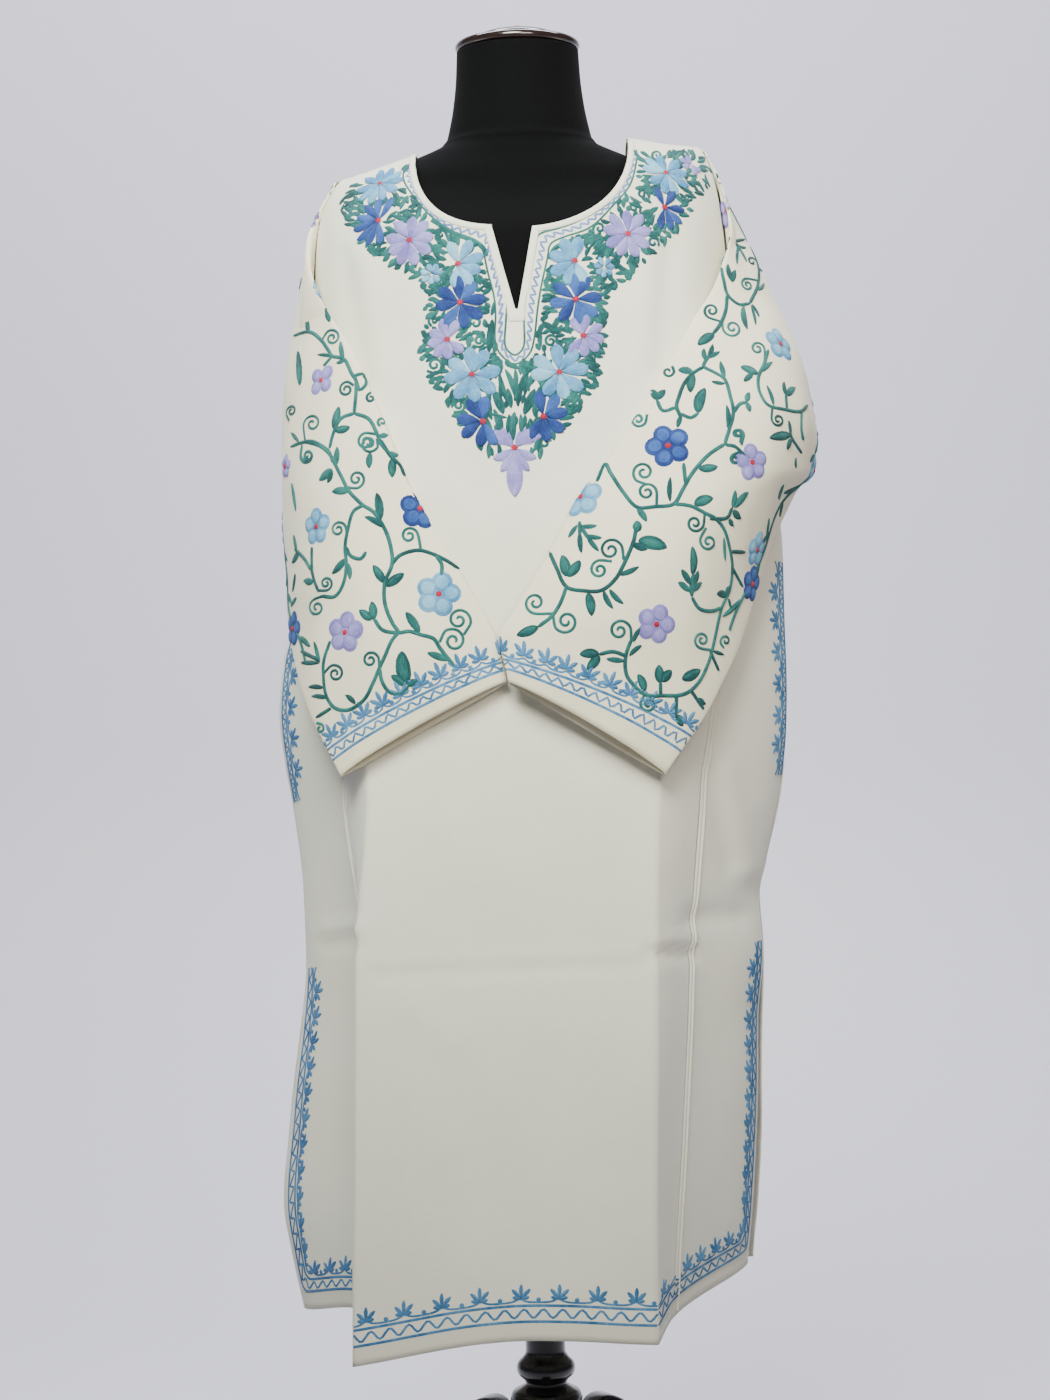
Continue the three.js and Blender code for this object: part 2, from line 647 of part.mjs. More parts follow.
// Pocket bag: two layers inside the front gore, joined by a fold, open at the side seam
function pocketBag(side) {
  const line = SIDE_LINES[side];
  const [low, high] = [POCKET.bottomZ, POCKET.topZ].map((z) => (z - line.hem) / (line.under - line.hem));
  const rows = [low, ...goreRows.filter((row) => row > low && row < high), high];
  const [mouth, inwards] = side === "left" ? [1, 1] : [7, -1];
  const surface = (w, row) => {
    const depth = clamp((1 - Math.abs(2 * w - 1)) / POCKET.flatShare, 0, 1);
    const fold = smoothstep(clamp((w - POCKET.foldStart) / POCKET.foldWidth, 0, 1));
    const u = mouth + inwards * (POCKET.mouth + POCKET.reach * depth);
    const { normal } = surfaceFrame(frontSurface, u, row);
    return frontSurface(u, row).addScaledVector(normal, -lerp(POCKET.nearOffset, POCKET.farOffset, fold));
  };
  const widths = [0, 0.1, 0.2, 0.3, 0.42, 0.46, 0.5, 0.54, 0.58, 0.7, 0.8, 0.9, 1];
  const outward = side === "left" ? (w, row) => surface(1 - w, row) : surface;
  return wall(outward, widths, rows, 0, BAG_WALL);
}

function formTorso() {
  const heights = FORM_SECTIONS.flatMap((row, i) => {
    const next = FORM_SECTIONS[i + 1];
    return next && next.z - row.z > TALLEST_FORM_ROW ? [row.z, (row.z + next.z) / 2] : [row.z];
  });
  const points = heights.flatMap((z) => even(FORM_SIDES).slice(1).map((share) => {
    const angle = share * 2 * Math.PI;
    const lean = NECK_AXIS.x * smoothstep(clamp((z - NECK_LEAN.fromZ) / NECK_LEAN.height, 0, 1));
    const column = (name) => read(FORM_SECTIONS, "z", name, z);
    const bend = (x) => Math.sign(x) * Math.abs(x) ** (2 / column("power"));
    return new THREE.Vector3(
      column("halfWidth") * bend(Math.cos(angle)) + lean,
      column("halfDepth") * bend(Math.sin(angle)) + column("centreY"),
      z,
    );
  }));
  const bottom = points.push(new THREE.Vector3(0, FORM_SECTIONS[0].centreY, heights[0])) - 1;
  const topZ = heights[heights.length - 1];
  const top = points.push(new THREE.Vector3(NECK_AXIS.x, NECK_AXIS.y, topZ)) - 1;
  const at = (i, j) => j * FORM_SIDES + (i % FORM_SIDES);
  const faces = [];
  for (let i = 0; i < FORM_SIDES; i++) {
    for (let j = 0; j < heights.length - 1; j++) {
      faces.push(quad(at(i, j), at(i + 1, j), at(i + 1, j + 1), at(i, j + 1)));
    }
    faces.push([bottom, at(i + 1, 0), at(i, 0)]);
    faces.push([top, at(i, heights.length - 1), at(i + 1, heights.length - 1)]);
  }
  return geometryOf(points, faces);
}

function turned(profile, sides) {
  const geometry = new THREE.LatheGeometry(profile.map(([r, z]) => new THREE.Vector2(r, z)), sides);
  geometry.rotateX(Math.PI / 2);
  return geometry;
}

function leg() {
  const corners = LEG_OUTLINE.map(([r, z]) => new THREE.Vector2(r, z));
  const shape = new THREE.Shape(corners);
  const geometry = new THREE.ExtrudeGeometry(shape, {
    depth: LEG_WIDTH - 2 * LEG_BEVEL,
    bevelEnabled: true,
    bevelThickness: LEG_BEVEL,
    bevelSize: LEG_BEVEL,
    bevelOffset: -LEG_BEVEL,
    bevelSegments: 2,
  });
  geometry.rotateX(Math.PI / 2);
  geometry.translate(0, LEG_WIDTH / 2 - LEG_BEVEL, 0);
  return geometry;
}

// ---------------------------------------------------------------- the object

const pheran = new THREE.Group();

function add(name, geometry, material) {
  const mesh = new THREE.Mesh(geometry, new THREE.MeshStandardMaterial(MATERIALS[material]));
  mesh.name = name;
  pheran.add(mesh);
  return mesh;
}

add("front_panel", frontPanel(), "cloth");
add("back_panel", backPanel(), "cloth");
for (const side of ["left", "right"]) {
  add(`front_gore_${side}`, gore(side, true), "cloth");
  add(`back_gore_${side}`, gore(side, false), "cloth");
  add(`sleeve_${side}`, sleeve(side), "cloth");
  add(`pocket_bag_${side}`, pocketBag(side), "cloth");
}
add("neck_binding_front", neckBinding(frontSurface, frontColumns, frontNeckOutline, NECK_CUT.frontY), "binding");
add("neck_binding_back", neckBinding(backSurface, backColumns, backNeckOutline, NECK_CUT.backY), "binding");

add("form_torso", formTorso(), "jersey");
for (const [name, profile, material] of [
  ["neck_cap", CAP_PROFILE, "cap"],
  ["cap_pin", CAP_PIN_PROFILE, "brass"],
]) {
  add(name, turned(profile, POLE_SIDES), material).position.set(NECK_AXIS.x, NECK_AXIS.y, 0);
}
add("stand_pole", turned(POLE_PROFILE, POLE_SIDES), "stand");
for (const [name, degrees] of Object.entries(LEG_ANGLES)) {
  add(name, leg(), "stand").rotation.z = THREE.MathUtils.degToRad(degrees);
}

// The footprint's middle is the origin
pheran.updateMatrixWorld(true);
const middle = new THREE.Box3().setFromObject(pheran, true).getCenter(new THREE.Vector3());
pheran.position.set(-middle.x, -middle.y, 0);

export default pheran;
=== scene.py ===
"""A pheran, a wide Kashmiri tunic, on a limbless dress form with a turned tripod stand.

The cloth pieces are drawn over the same lines as the plain solids. Lines and tables are in
millimetres from the stand's axis, with -Y out of the garment's front and the wearer's right at -X.
"""
import bisect
import functools
import math
import random

import bmesh
import bpy
from mathutils import Matrix, Vector, noise
from mathutils.bvhtree import BVHTree


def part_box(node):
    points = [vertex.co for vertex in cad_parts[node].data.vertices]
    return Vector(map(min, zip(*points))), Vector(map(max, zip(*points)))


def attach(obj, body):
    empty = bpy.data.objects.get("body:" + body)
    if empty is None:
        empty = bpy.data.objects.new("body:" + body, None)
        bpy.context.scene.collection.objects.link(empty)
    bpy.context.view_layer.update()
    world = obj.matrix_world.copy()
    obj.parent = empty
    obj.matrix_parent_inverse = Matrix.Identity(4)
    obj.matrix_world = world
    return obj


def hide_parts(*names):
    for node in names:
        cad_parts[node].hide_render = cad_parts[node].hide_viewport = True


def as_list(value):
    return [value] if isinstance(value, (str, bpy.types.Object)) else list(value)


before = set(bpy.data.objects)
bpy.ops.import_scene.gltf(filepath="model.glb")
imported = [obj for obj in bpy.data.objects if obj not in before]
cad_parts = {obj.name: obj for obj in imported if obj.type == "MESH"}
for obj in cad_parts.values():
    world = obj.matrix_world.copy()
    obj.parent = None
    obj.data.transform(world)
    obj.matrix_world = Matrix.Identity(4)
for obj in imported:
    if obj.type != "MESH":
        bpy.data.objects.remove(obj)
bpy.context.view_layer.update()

MM = 0.001

low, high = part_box("stand_pole")
AXIS = Vector(((low[0] + high[0]) / 2, (low[1] + high[1]) / 2, 0))


def table(columns, *rows):
    return [dict(zip(columns, row)) for row in rows]


# ---------------------------------------------------------------- the cut, in millimetres

BODY_WALL = 1.5
SLEEVE_WALL = 1.2
TURN = 14
SHOULDER_ROW = 2
UNDERARM_Z = 1200
GORE_TOP_Z = 1212
SHOULDER_ROUNDING = 105
ARMHOLE = {
    "left": dict(sign=-1, bottom_x=188, top_x=163, top_z=1435, front=30, back=32),
    "right": dict(sign=1, bottom_x=188, top_x=168, top_z=1457, front=30, back=32),
}
ARMHOLE_LEAN_POWER = 7

NECK_CENTRE_X = -4
NECK = {
    "left": dict(half_width=90, depth=86, centre_z=1458, power=2.8),
    "right": dict(half_width=105, depth=90, centre_z=1460, power=2.3),
}
NECK_TOP_Z = 1500
NOTCH = dict(left_x=-25.4, right_x=11.6, tip_x=-4.4, tip_z=1295, tip_half_width=1.5)
BACK_NECK_DEPTH = 20

# Each line's height at the hem, at the underarm and at the shoulder
FRONT_LINES = {
    "edgeLeft": (402, GORE_TOP_Z, ARMHOLE["left"]["top_z"]),
    "creaseLeft": (370, 1208, 1438),
    "middle": (389, 1208, 1475),
    "creaseRight": (383, 1208, 1459),
    "edgeRight": (397, GORE_TOP_Z, ARMHOLE["right"]["top_z"]),
}
BACK_LINES = {
    "edgeLeft": (396, GORE_TOP_Z, ARMHOLE["left"]["top_z"]),
    "creaseLeft": (378, 1208, 1438),
    "middle": (376, 1208, 1475),
    "creaseRight": (380, 1208, 1459),
    "edgeRight": (398, GORE_TOP_Z, ARMHOLE["right"]["top_z"]),
}
SIDE_LINES = {
    "left": (390, UNDERARM_Z, UNDERARM_Z),
    "right": (418, UNDERARM_Z, UNDERARM_Z),
}

FRONT_CREASES = table(
    ("z", "middleY", "leftX", "leftY", "rightX", "rightY", "sharp"),
    (370, -150, -169, -150, 98, -150, 1),
    (480, -150.5, -166, -150, 99, -150, 1),
    (600, -149.5, -162, -149, 102, -149, 1),
    (725, -148, -158, -147, 104, -147, 0.9),
    (870, -146, -144, -143, 110, -143, 0.75),
    (1060, -141, -143, -127, 126, -135, 0.45),
    (1208, -134, -144, -107, 142, -114, 0.25),
    (1290, -127, -148, -88, 148, -93, 0.15),
    (1370, -113, -150, -80, 148, -80, 0.1),
    (1475, -104, -150, -74, 148, -74, 0.1),
)
FRONT_SEAMS = table(
    ("z", "leftX", "leftY", "rightX", "rightY"),
    (370, -158, -106, 112, -108),
    (480, -155, -105, 119, -105),
    (600, -151, -104, 129, -102),
    (725, -152, -102, 137, -100),
    (870, -166, -98, 150, -102),
    (1060, -174, -66, 178, -74),
    (GORE_TOP_Z, -187.4, -13.2, 187.4, -13),
)
BACK_CREASES = table(
    ("z", "middleY", "leftX", "leftY", "rightX", "rightY", "sharp"),
    (370, 150, -152, 146, 140, 146, 0.8),
    (600, 148, -150, 144, 138, 144, 0.7),
    (870, 143, -148, 134, 138, 134, 0.5),
    (1060, 137, -148, 122, 140, 122, 0.3),
    (1208, 130, -148, 104, 144, 104, 0.2),
    (1290, 122, -150, 90, 148, 90, 0.1),
    (1370, 110, -150, 78, 148, 78, 0.1),
    (1475, 102, -150, 72, 148, 72, 0.1),
)
BACK_SEAMS = table(
    ("z", "leftX", "leftY", "rightX", "rightY"),
    (370, -176, 108, 160, 112),
    (600, -172, 106, 160, 108),
    (870, -172, 98, 168, 98),
    (1060, -182, 66, 182, 66),
    (GORE_TOP_Z, -187.4, 14.1, 187.4, 13.9),
)
SIDES_LEFT = table(
    ("z", "frontX", "frontY", "backX", "backY"),
    (370, -219, 4, -222, 34),
    (443, -232, 2, -234, 28),
    (491, -238, 0, -239, 22),
    (574, -229, 0, -230, 14),
    (650, -218, 0, -219, 7),
    (718, -212, 0, -212, 0),
    (778, -213, 0, -213, 0),
    (860, -222, 0, -222, 0),
    (895, -227, -4, -228, 4),
    (940, -231, -5, -232, 5),
    (990, -226, -5, -227, 5),
    (1025, -215, -3, -216, 3),
    (1068, -205, 0, -205, 0),
    (1120, -197, 0, -197, 0),
    (UNDERARM_Z, -188, -0.2, -188, 0.2),
)
SIDES_RIGHT = table(
    ("z", "frontX", "frontY", "backX", "backY"),
    (370, 187, 24, 196, 56),
    (419, 190, 22, 198, 52),
    (477, 195, 16, 203, 42),
    (572, 201, 8, 208, 28),
    (650, 203, 4, 208, 14),
    (718, 209, 0, 209, 0),
    (764, 207, 0, 207, 0),
    (796, 214, 0, 214, 0),
    (868, 230, 0, 230, 0),
    (920, 235, -2, 234, 4),
    (990, 236, -3, 234, 6),
    (1040, 236, -2, 235, 4),
    (1078, 236, 0, 236, 0),
    (1112, 234, 0, 234, 0),
    (1150, 218, -0.1, 218, 0.1),
    (UNDERARM_Z, 188, -0.2, 188, 0.2),
)
SLEEVE_COLUMNS = (
    "v", "innerX", "innerY", "innerZ", "outerX", "outerY", "outerZ", "bow", "gap",
)
SLEEVE_LEFT = table(
    SLEEVE_COLUMNS,
    (0, -183, -36, 1390, -202, 34, 1330, 8, 14),
    (0.1, -184, -53, 1350, -205, 38, 1290, 17, 12),
    (0.22, -169, -85, 1298, -208, 38, 1235, 24, 9),
    (0.34, -147, -112, 1253, -212, 26, 1190, 31, 6.5),
    (0.46, -127, -129, 1202, -217, 8, 1150, 36, 5.5),
    (0.58, -102, -142, 1138, -219, -16, 1100, 39, 5),
    (0.7, -77, -148, 1093, -219, -46, 1050, 38, 5),
    (0.8, -52, -152, 1048, -214, -80, 1006, 32, 5.5),
    (0.9, -31, -155, 1008, -195, -122, 944, 20, 6.5),
    (1, -20.5, -158, 966, -168, -153, 887, 4, 7),
)
SLEEVE_RIGHT = table(
    SLEEVE_COLUMNS,
    (0, 180, -36, 1400, 208, 34, 1340, 8, 16),
    (0.1, 179, -56, 1352, 226, 38, 1300, 18, 14),
    (0.22, 164, -88, 1303, 246, 38, 1255, 34, 12),
    (0.34, 139, -113, 1261, 259, 22, 1212, 46, 10),
    (0.46, 111, -133, 1215, 266, 0, 1180, 52, 9),
    (0.56, 67, -149, 1151, 264, -20, 1156, 56, 8),
    (0.64, 39, -157, 1112, 244, -46, 1134, 54, 8),
    (0.74, 11, -163, 1064, 216, -78, 1076, 46, 8),
    (0.84, -11, -168, 1030, 190, -108, 1004, 34, 8),
    (0.92, -25, -171, 1004, 161, -138, 945, 18, 7),
    (1, -17.5, -173, 965, 115, -164, 883, 4, 7),
)
FORM_SECTIONS = table(
    ("z", "halfWidth", "halfDepth", "centreY", "power"),
    (792, 150, 96, 4, 2.2),
    (800, 160, 106, 4, 2.2),
    (880, 166, 112, 6, 2.2),
    (970, 152, 102, 4, 2.2),
    (1075, 122, 92, 0, 2.2),
    (1160, 136, 100, -2, 2.2),
    (1240, 152, 112, -6, 2.2),
    (1290, 158, 114, -7, 2.2),
    (1340, 162, 108, -3, 2.2),
    (1372, 164, 103, -1, 2.2),
    (1400, 160, 84, 2, 2.2),
    (1418, 149, 74, 2, 2.2),
    (1433, 136, 69, 1, 2.1),
    (1444, 115.2, 64.2, 0.6, 2.1),
    (1450, 102.5, 62.9, 0.7, 2),
    (1454, 92.5, 62.5, 1, 2),
    (1459, 81, 63, 2.5, 2),
    (1463.5, 72.5, 64, 3, 2),
    (1466, 71, 65, 3, 2),
    (1469, 68, 63, 3, 2),
    (1480, 65, 62, 3, 2),
    (1500, 61, 60, 3, 2),
    (1525, 58, 58, 3, 2),
    (1552, 56.5, 56.5, 3, 2),
)

# How much of a sleeve's length flattens the armhole's rim, where the inner fold meets the rim,
# and how far the sleeve clears the armhole, the gore and the chest
SLEEVE_FLATTENING = 0.3
INNER_FOLD_START = math.pi / 3
ARMHOLE_EASE = 1.1
UNDERARM_EASE = 1.4
SLEEVE_SWING = 17

POCKET = dict(bottom_z=862, top_z=1086, reach=0.72, near=1.37, far=8)
NECK_AXIS = (2, 3)

# Pressed creases and soft dents of the front and its gores, seen from the front: a line from
# (x0, z0) to (x1, z1), its half-width and how far it stands out
FRONT_FOLDS = table(
    ("x0", "z0", "x1", "z1", "width", "height"),
    (-142, 722, 98, 725, 4, 1.3),
    (-142, 714, 98, 717, 7, -1.4),
    (98, 727, 140, 721, 6, -3.2),
    (100, 737, 138, 733, 6, 1.8),
    (140, 752, 186, 748, 10, -3.0),
    (172, 880, 194, 792, 12, 3.6),
    (160, 880, 178, 800, 11, -3.2),
    (-192, 743, -156, 752, 6, 2.2),
    (-190, 731, -158, 739, 7, -2.4),
    (-108, 682, -78, 655, 16, 1.6),
    (-158, 1352, -142, 1240, 10, -2.2),
    (-138, 1350, -124, 1240, 12, 2.0),
    (134, 1352, 122, 1240, 12, -2.2),
    (116, 1350, 104, 1250, 12, 1.8),
    (-60, 1130, -34, 1010, 14, 1.6),
    (34, 1130, 18, 1010, 14, 1.6),
    (-100, 1210, -40, 1140, 26, -2.4),
    (70, 1210, 20, 1140, 26, -2.4),
    (-96, 930, -88, 560, 18, 1.2),
    (52, 930, 60, 520, 20, 1.2),
)


# ---------------------------------------------------------------- curves

def lerp(a, b, t):
    return a + (b - a) * t


def clamp(x, low=0, high=1):
    return min(max(x, low), high)


def smoothstep(t):
    return t * t * (3 - 2 * t)


def even(count, start=0, end=1):
    return [lerp(start, end, i / count) for i in range(count + 1)]


def curve_of(rows, key, column):
    """The values of one column as a curve that never overshoots its rows."""
    xs = [row[key] for row in rows]
    ys = [row[column] for row in rows]
    secants = [(ys[i + 1] - ys[i]) / (xs[i + 1] - xs[i]) for i in range(len(xs) - 1)]
    turns = [0 if a * b <= 0 else 2 * a * b / (a + b) for a, b in zip(secants, secants[1:])]
    slopes = [secants[0], *turns, secants[-1]]

    def value(x):
        x = clamp(x, xs[0], xs[-1])
        i = min(bisect.bisect_right(xs, x), len(xs) - 1) - 1
        span = xs[i + 1] - xs[i]
        t = (x - xs[i]) / span
        rise = smoothstep(t)
        bend = slopes[i] * (1 - t) - slopes[i + 1] * t
        return lerp(ys[i], ys[i + 1], rise) + span * t * (1 - t) * bend

    return value


def curves_of(rows, key):
    return {column: curve_of(rows, key, column) for column in rows[0] if column != key}


def through(knots, sharp, u):
    """Smooth curve through knots; a knot with sharp = 1 is a corner."""
    i = int(clamp(math.floor(u), 0, len(knots) - 2))
    chord = knots[i + 1] - knots[i]
    own = chord.normalized()

    def direction(k, other):
        if not 0 <= other < len(knots) - 1:
            return own
        mean = (own + (knots[other + 1] - knots[other]).normalized()).normalized()
        return mean.lerp(own, sharp[k]).normalized()

    t = u - i
    bend = direction(i, i - 1) * (1 - t) - direction(i + 1, i + 1) * t
    return knots[i].lerp(knots[i + 1], smoothstep(t)) + bend * (chord.length * t * (1 - t))


def rounded(points, step, closed=False):
    """Points every step or so along a smooth curve through these points, flat or not."""
    count = len(points)
    reach = range(count) if closed else range(count - 1)
    result = []
    for i in reach:
        before, start, end, after = (
            points[k % count] if closed else points[clamp(k, 0, count - 1)] for k in range(i - 1, i + 3)
        )
        size = (end - start).length
        pull_in = (end - before) * (size / max((start - before).length + size, 1e-9))
        pull_out = (after - start) * (size / max((after - end).length + size, 1e-9))
        pieces = max(1, round(size / step))
        for k in range(pieces):
            t = k / pieces
            bend = pull_in * (t * (1 - t) ** 2) - pull_out * (t * t * (1 - t))
            result.append(start.lerp(end, smoothstep(t)) + bend)
    return result if closed else result + [points[-1].copy()]


# ---------------------------------------------------------------- the garment's surfaces

FRONT = dict(
    lines=FRONT_LINES,
    creases=curves_of(FRONT_CREASES, "z"),
    seams=curves_of(FRONT_SEAMS, "z"),
    face="front",
    turn=TURN,
)
BACK = dict(
    lines=BACK_LINES,
    creases=curves_of(BACK_CREASES, "z"),
    seams=curves_of(BACK_SEAMS, "z"),
    face="back",
    turn=-TURN,
)
SIDES = {"left": curves_of(SIDES_LEFT, "z"), "right": curves_of(SIDES_RIGHT, "z")}
SLEEVES = {"left": curves_of(SLEEVE_LEFT, "v"), "right": curves_of(SLEEVE_RIGHT, "v")}


def height_on(line, row):
    """Rows run from the hem (0) past the underarm (1) to the shoulder (2)."""
    hem, under, top = line
    if row <= 1:
        return lerp(hem, under, row)
    return lerp(under, top, math.sin((row - 1) * math.pi / 2))


def shoulder_rounding(line, z):
    rise = clamp((z - line[2] + SHOULDER_ROUNDING) / SHOULDER_ROUNDING)
    return math.sqrt(1 - rise * rise)


def armhole_point(side, z, half):
    hole = ARMHOLE[side]
    share = clamp((z - UNDERARM_Z) / (hole["top_z"] - UNDERARM_Z))
    rise = math.sqrt(max(0, 1 - (2 * share - 1) ** 2))
    depth = -hole["front"] if half is FRONT else hole["back"]
    x = lerp(hole["bottom_x"], hole["top_x"], share ** ARMHOLE_LEAN_POWER)
    return Vector((hole["sign"] * x, depth * rise, z))


def seam_point(side, row, half):
    z = height_on(half["lines"]["edge" + side.capitalize()], row)
    if row >= 1:
        return armhole_point(side, z, half)
    return Vector((half["seams"][side + "X"](z), half["seams"][side + "Y"](z), z))


def crease_point(side, row, half):
    line = half["lines"]["crease" + side.capitalize()]
    z = height_on(line, row)
    y = half["creases"][side + "Y"](z) * shoulder_rounding(line, z)
    return Vector((half["creases"][side + "X"](z), y, z))


def middle_point(row, half):
    line = half["lines"]["middle"]
    z = height_on(line, row)
    x = (crease_point("left", row, half).x + crease_point("right", row, half).x) / 2
    return Vector((x, half["creases"]["middleY"](z) * shoulder_rounding(line, z), z))


def side_point(side, row, half):
    z = height_on(SIDE_LINES[side], row)
    face = half["face"]
    return Vector((SIDES[side][face + "X"](z), SIDES[side][face + "Y"](z), z))


def row_end(side, row, half):
    if row <= 1:
        return side_point(side, row, half)
    turn = side_point(side, 1, half) - seam_point(side, 1, half)
    turn = turn.lerp(Vector((0, half["turn"], 0)), clamp((row - 1) * 4))
    return seam_point(side, row, half) + turn


@functools.lru_cache(maxsize=None)
def row_knots(row, face):
    half = FRONT if face == "front" else BACK
    beyond = Vector((0, 2 * half["turn"], 0))
    middle = middle_point(row, half)
    crease = half["creases"]["sharp"](middle.z)
    left = row_end("left", row, half)
    right = row_end("right", row, half)
    knots = [
        left + beyond,
        left,
        seam_point("left", row, half),
        crease_point("left", row, half),
        middle,
        crease_point("right", row, half),
        seam_point("right", row, half),
        right,
        right + beyond,
    ]
    return knots, [0, 0, 0, crease, 0, crease, 0, 0, 0]


def front_surface(u, row):
    """u counts the front's lines: side 1, gore seam 2, crease 3, middle 4, crease 5, and so on."""
    return through(*row_knots(row, "front"), u)


def back_surface(u, row):
    return through(*row_knots(row, "back"), 8 - u)


def sleeve_surface(side, around, v):
    """around runs once round the armhole, from its top over the front."""
    hole = ARMHOLE[side]
    curves = SLEEVES[side]
    sign = hole["sign"]
    angle = around * 2 * math.pi
    inner = Vector(curves["inner" + axis](v) for axis in "XYZ")
    outer = Vector(curves["outer" + axis](v) for axis in "XYZ")
    across = inner - outer
    outward = Vector((sign * 0.72, -0.7, 0))
    outward = (outward - across * (outward.dot(across) / across.length_squared)).normalized()
    fold_angle = angle + math.pi - INNER_FOLD_START
    s = (1 - math.cos(fold_angle)) / 2
    lift = 4 * s * (1 - s) * curves["bow"](v) + curves["gap"](v) * math.sin(fold_angle)
    flat = outer + across * s + outward * lift
    share = smoothstep(clamp(v / SLEEVE_FLATTENING))
    if share == 1:
        return flat
    low = (1 - math.cos(angle)) / 2
    ring = armhole_point(side, lerp(hole["top_z"], UNDERARM_Z, low), FRONT)
    ring.y = -math.sin(angle) * (hole["front"] if math.sin(angle) > 0 else hole["back"])
    ring.x += sign * (BODY_WALL + ARMHOLE_EASE + UNDERARM_EASE * low)
    swing = SLEEVE_SWING * max(0, math.sin(angle)) * 4 * share * (1 - share)
    return ring.lerp(flat, share) + Vector((sign * 0.8 * swing, -0.6 * swing, 0))


def in_metres(point):
    return AXIS + point * MM


# ---------------------------------------------------------------- soft folds, in millimetres

def fold_height(folds, x, z):
    total = 0
    for fold in folds:
        along = Vector((fold["x1"] - fold["x0"], fold["z1"] - fold["z0"]))
        offset = Vector((x - fold["x0"], z - fold["z0"]))
        t = clamp(offset.dot(along) / along.length_squared)
        distance = (offset - along * t).length
        if distance < 3 * fold["width"]:
            total += fold["height"] * math.exp(-((distance / fold["width"]) ** 2))
    return total


def slack(point, size, height):
    """Slow uneven waves of cloth that hangs free."""
    return height * noise.noise(point / size)


def front_relief(point):
    hanging = slack(Vector((point.x, 0, point.z / 2.5)), 45, 1.6)
    return hanging + fold_height(FRONT_FOLDS, point.x, point.z)


def back_relief(point):
    return slack(Vector((point.x, 90, point.z / 3)), 45, 2)


def sleeve_relief(point):
    return slack(Vector((point.x, point.y, point.z * 0.6)), 38, 2.2)


# ---------------------------------------------------------------- materials

def linear(code):
    """sRGB hex to linear RGBA."""
    parts = [int(code[i:i + 2], 16) / 255 for i in (1, 3, 5)]
    return (*(p / 12.92 if p <= 0.04045 else ((p + 0.055) / 1.055) ** 2.4 for p in parts), 1)


def add_node(material, kind, inputs=None, **settings):
    """One node with its settings; an input is a value, or a socket that is linked."""
    tree = material.node_tree
    node = tree.nodes.new(kind)
    for name, value in settings.items():
        setattr(node, name, value)
    for name, value in (inputs or {}).items():
        if isinstance(value, bpy.types.NodeSocket):
            tree.links.new(value, node.inputs[name])
        else:
            node.inputs[name].default_value = value
    return node


def new_material(name, **sockets):
    material = bpy.data.materials.new(name)
    material.use_nodes = True
    shader = material.node_tree.nodes["Principled BSDF"]
    for socket, value in sockets.items():
        shader.inputs[socket.replace("_", " ")].default_value = value
    return material, shader


def link(material, source, shader, socket):
    material.node_tree.links.new(source, shader.inputs[socket])


def bump(material, shader, height, distance, strength=1.0):
    node = add_node(
        material, "ShaderNodeBump", {"Height": height, "Distance": distance, "Strength": strength}
    )
    link(material, node.outputs["Normal"], shader, "Normal")


def mixed(material, factor, first, second):
    node = add_node(material, "ShaderNodeMix", data_type="RGBA")
    tree = material.node_tree
    tree.links.new(factor, node.inputs[0])
    node.inputs[6].default_value = linear(first)
    node.inputs[7].default_value = linear(second)
    return node.outputs[2]


RIB_SPACING = 0.0018
FACING_DEPTH = 0.0163


def twill_relief(material, cut, coordinates):
    """Ribs and yarns on the cloth's own lines, and slight rumples over them."""
    # Ribs are coarser than is usual, so that they still show
    ribs = add_node(
        material, "ShaderNodeTexWave",
        {"Vector": cut, "Scale": 2 * math.pi / (10 * RIB_SPACING), "Distortion": 0.6},
        bands_direction="DIAGONAL",
    ).outputs["Fac"]
    yarn = add_node(
        material, "ShaderNodeTexNoise", {"Vector": cut, "Scale": 900.0, "Detail": 1.0}
    ).outputs["Fac"]
    weave = add_node(
        material, "ShaderNodeMath", {0: ribs, 1: 0.6, 2: yarn}, operation="MULTIPLY_ADD"
    ).outputs[0]
    fine = add_node(
        material, "ShaderNodeBump", {"Height": weave, "Distance": 0.00022, "Strength": 0.55}
    ).outputs["Normal"]
    # Slight rumples, about 45 mm across
    rumple = add_node(
        material, "ShaderNodeTexNoise", {"Vector": coordinates, "Scale": 22.0, "Detail": 3.0}
    ).outputs["Fac"]
    return add_node(
        material, "ShaderNodeBump",
        {"Height": rumple, "Distance": 0.0022, "Strength": 0.5, "Normal": fine},
    ).outputs["Normal"]


def hem_facing(material, cut):
    """One where the hem is turned up and the cloth is double, and zero above."""
    height = add_node(material, "ShaderNodeSeparateXYZ", {"Vector": cut}).outputs["Y"]
    return add_node(
        material, "ShaderNodeMapRange",
        {"Value": height, "From Min": FACING_DEPTH - 0.0005, "From Max": FACING_DEPTH + 0.0005,
         "To Min": 1.0, "To Max": 0.0},
    ).outputs["Result"]


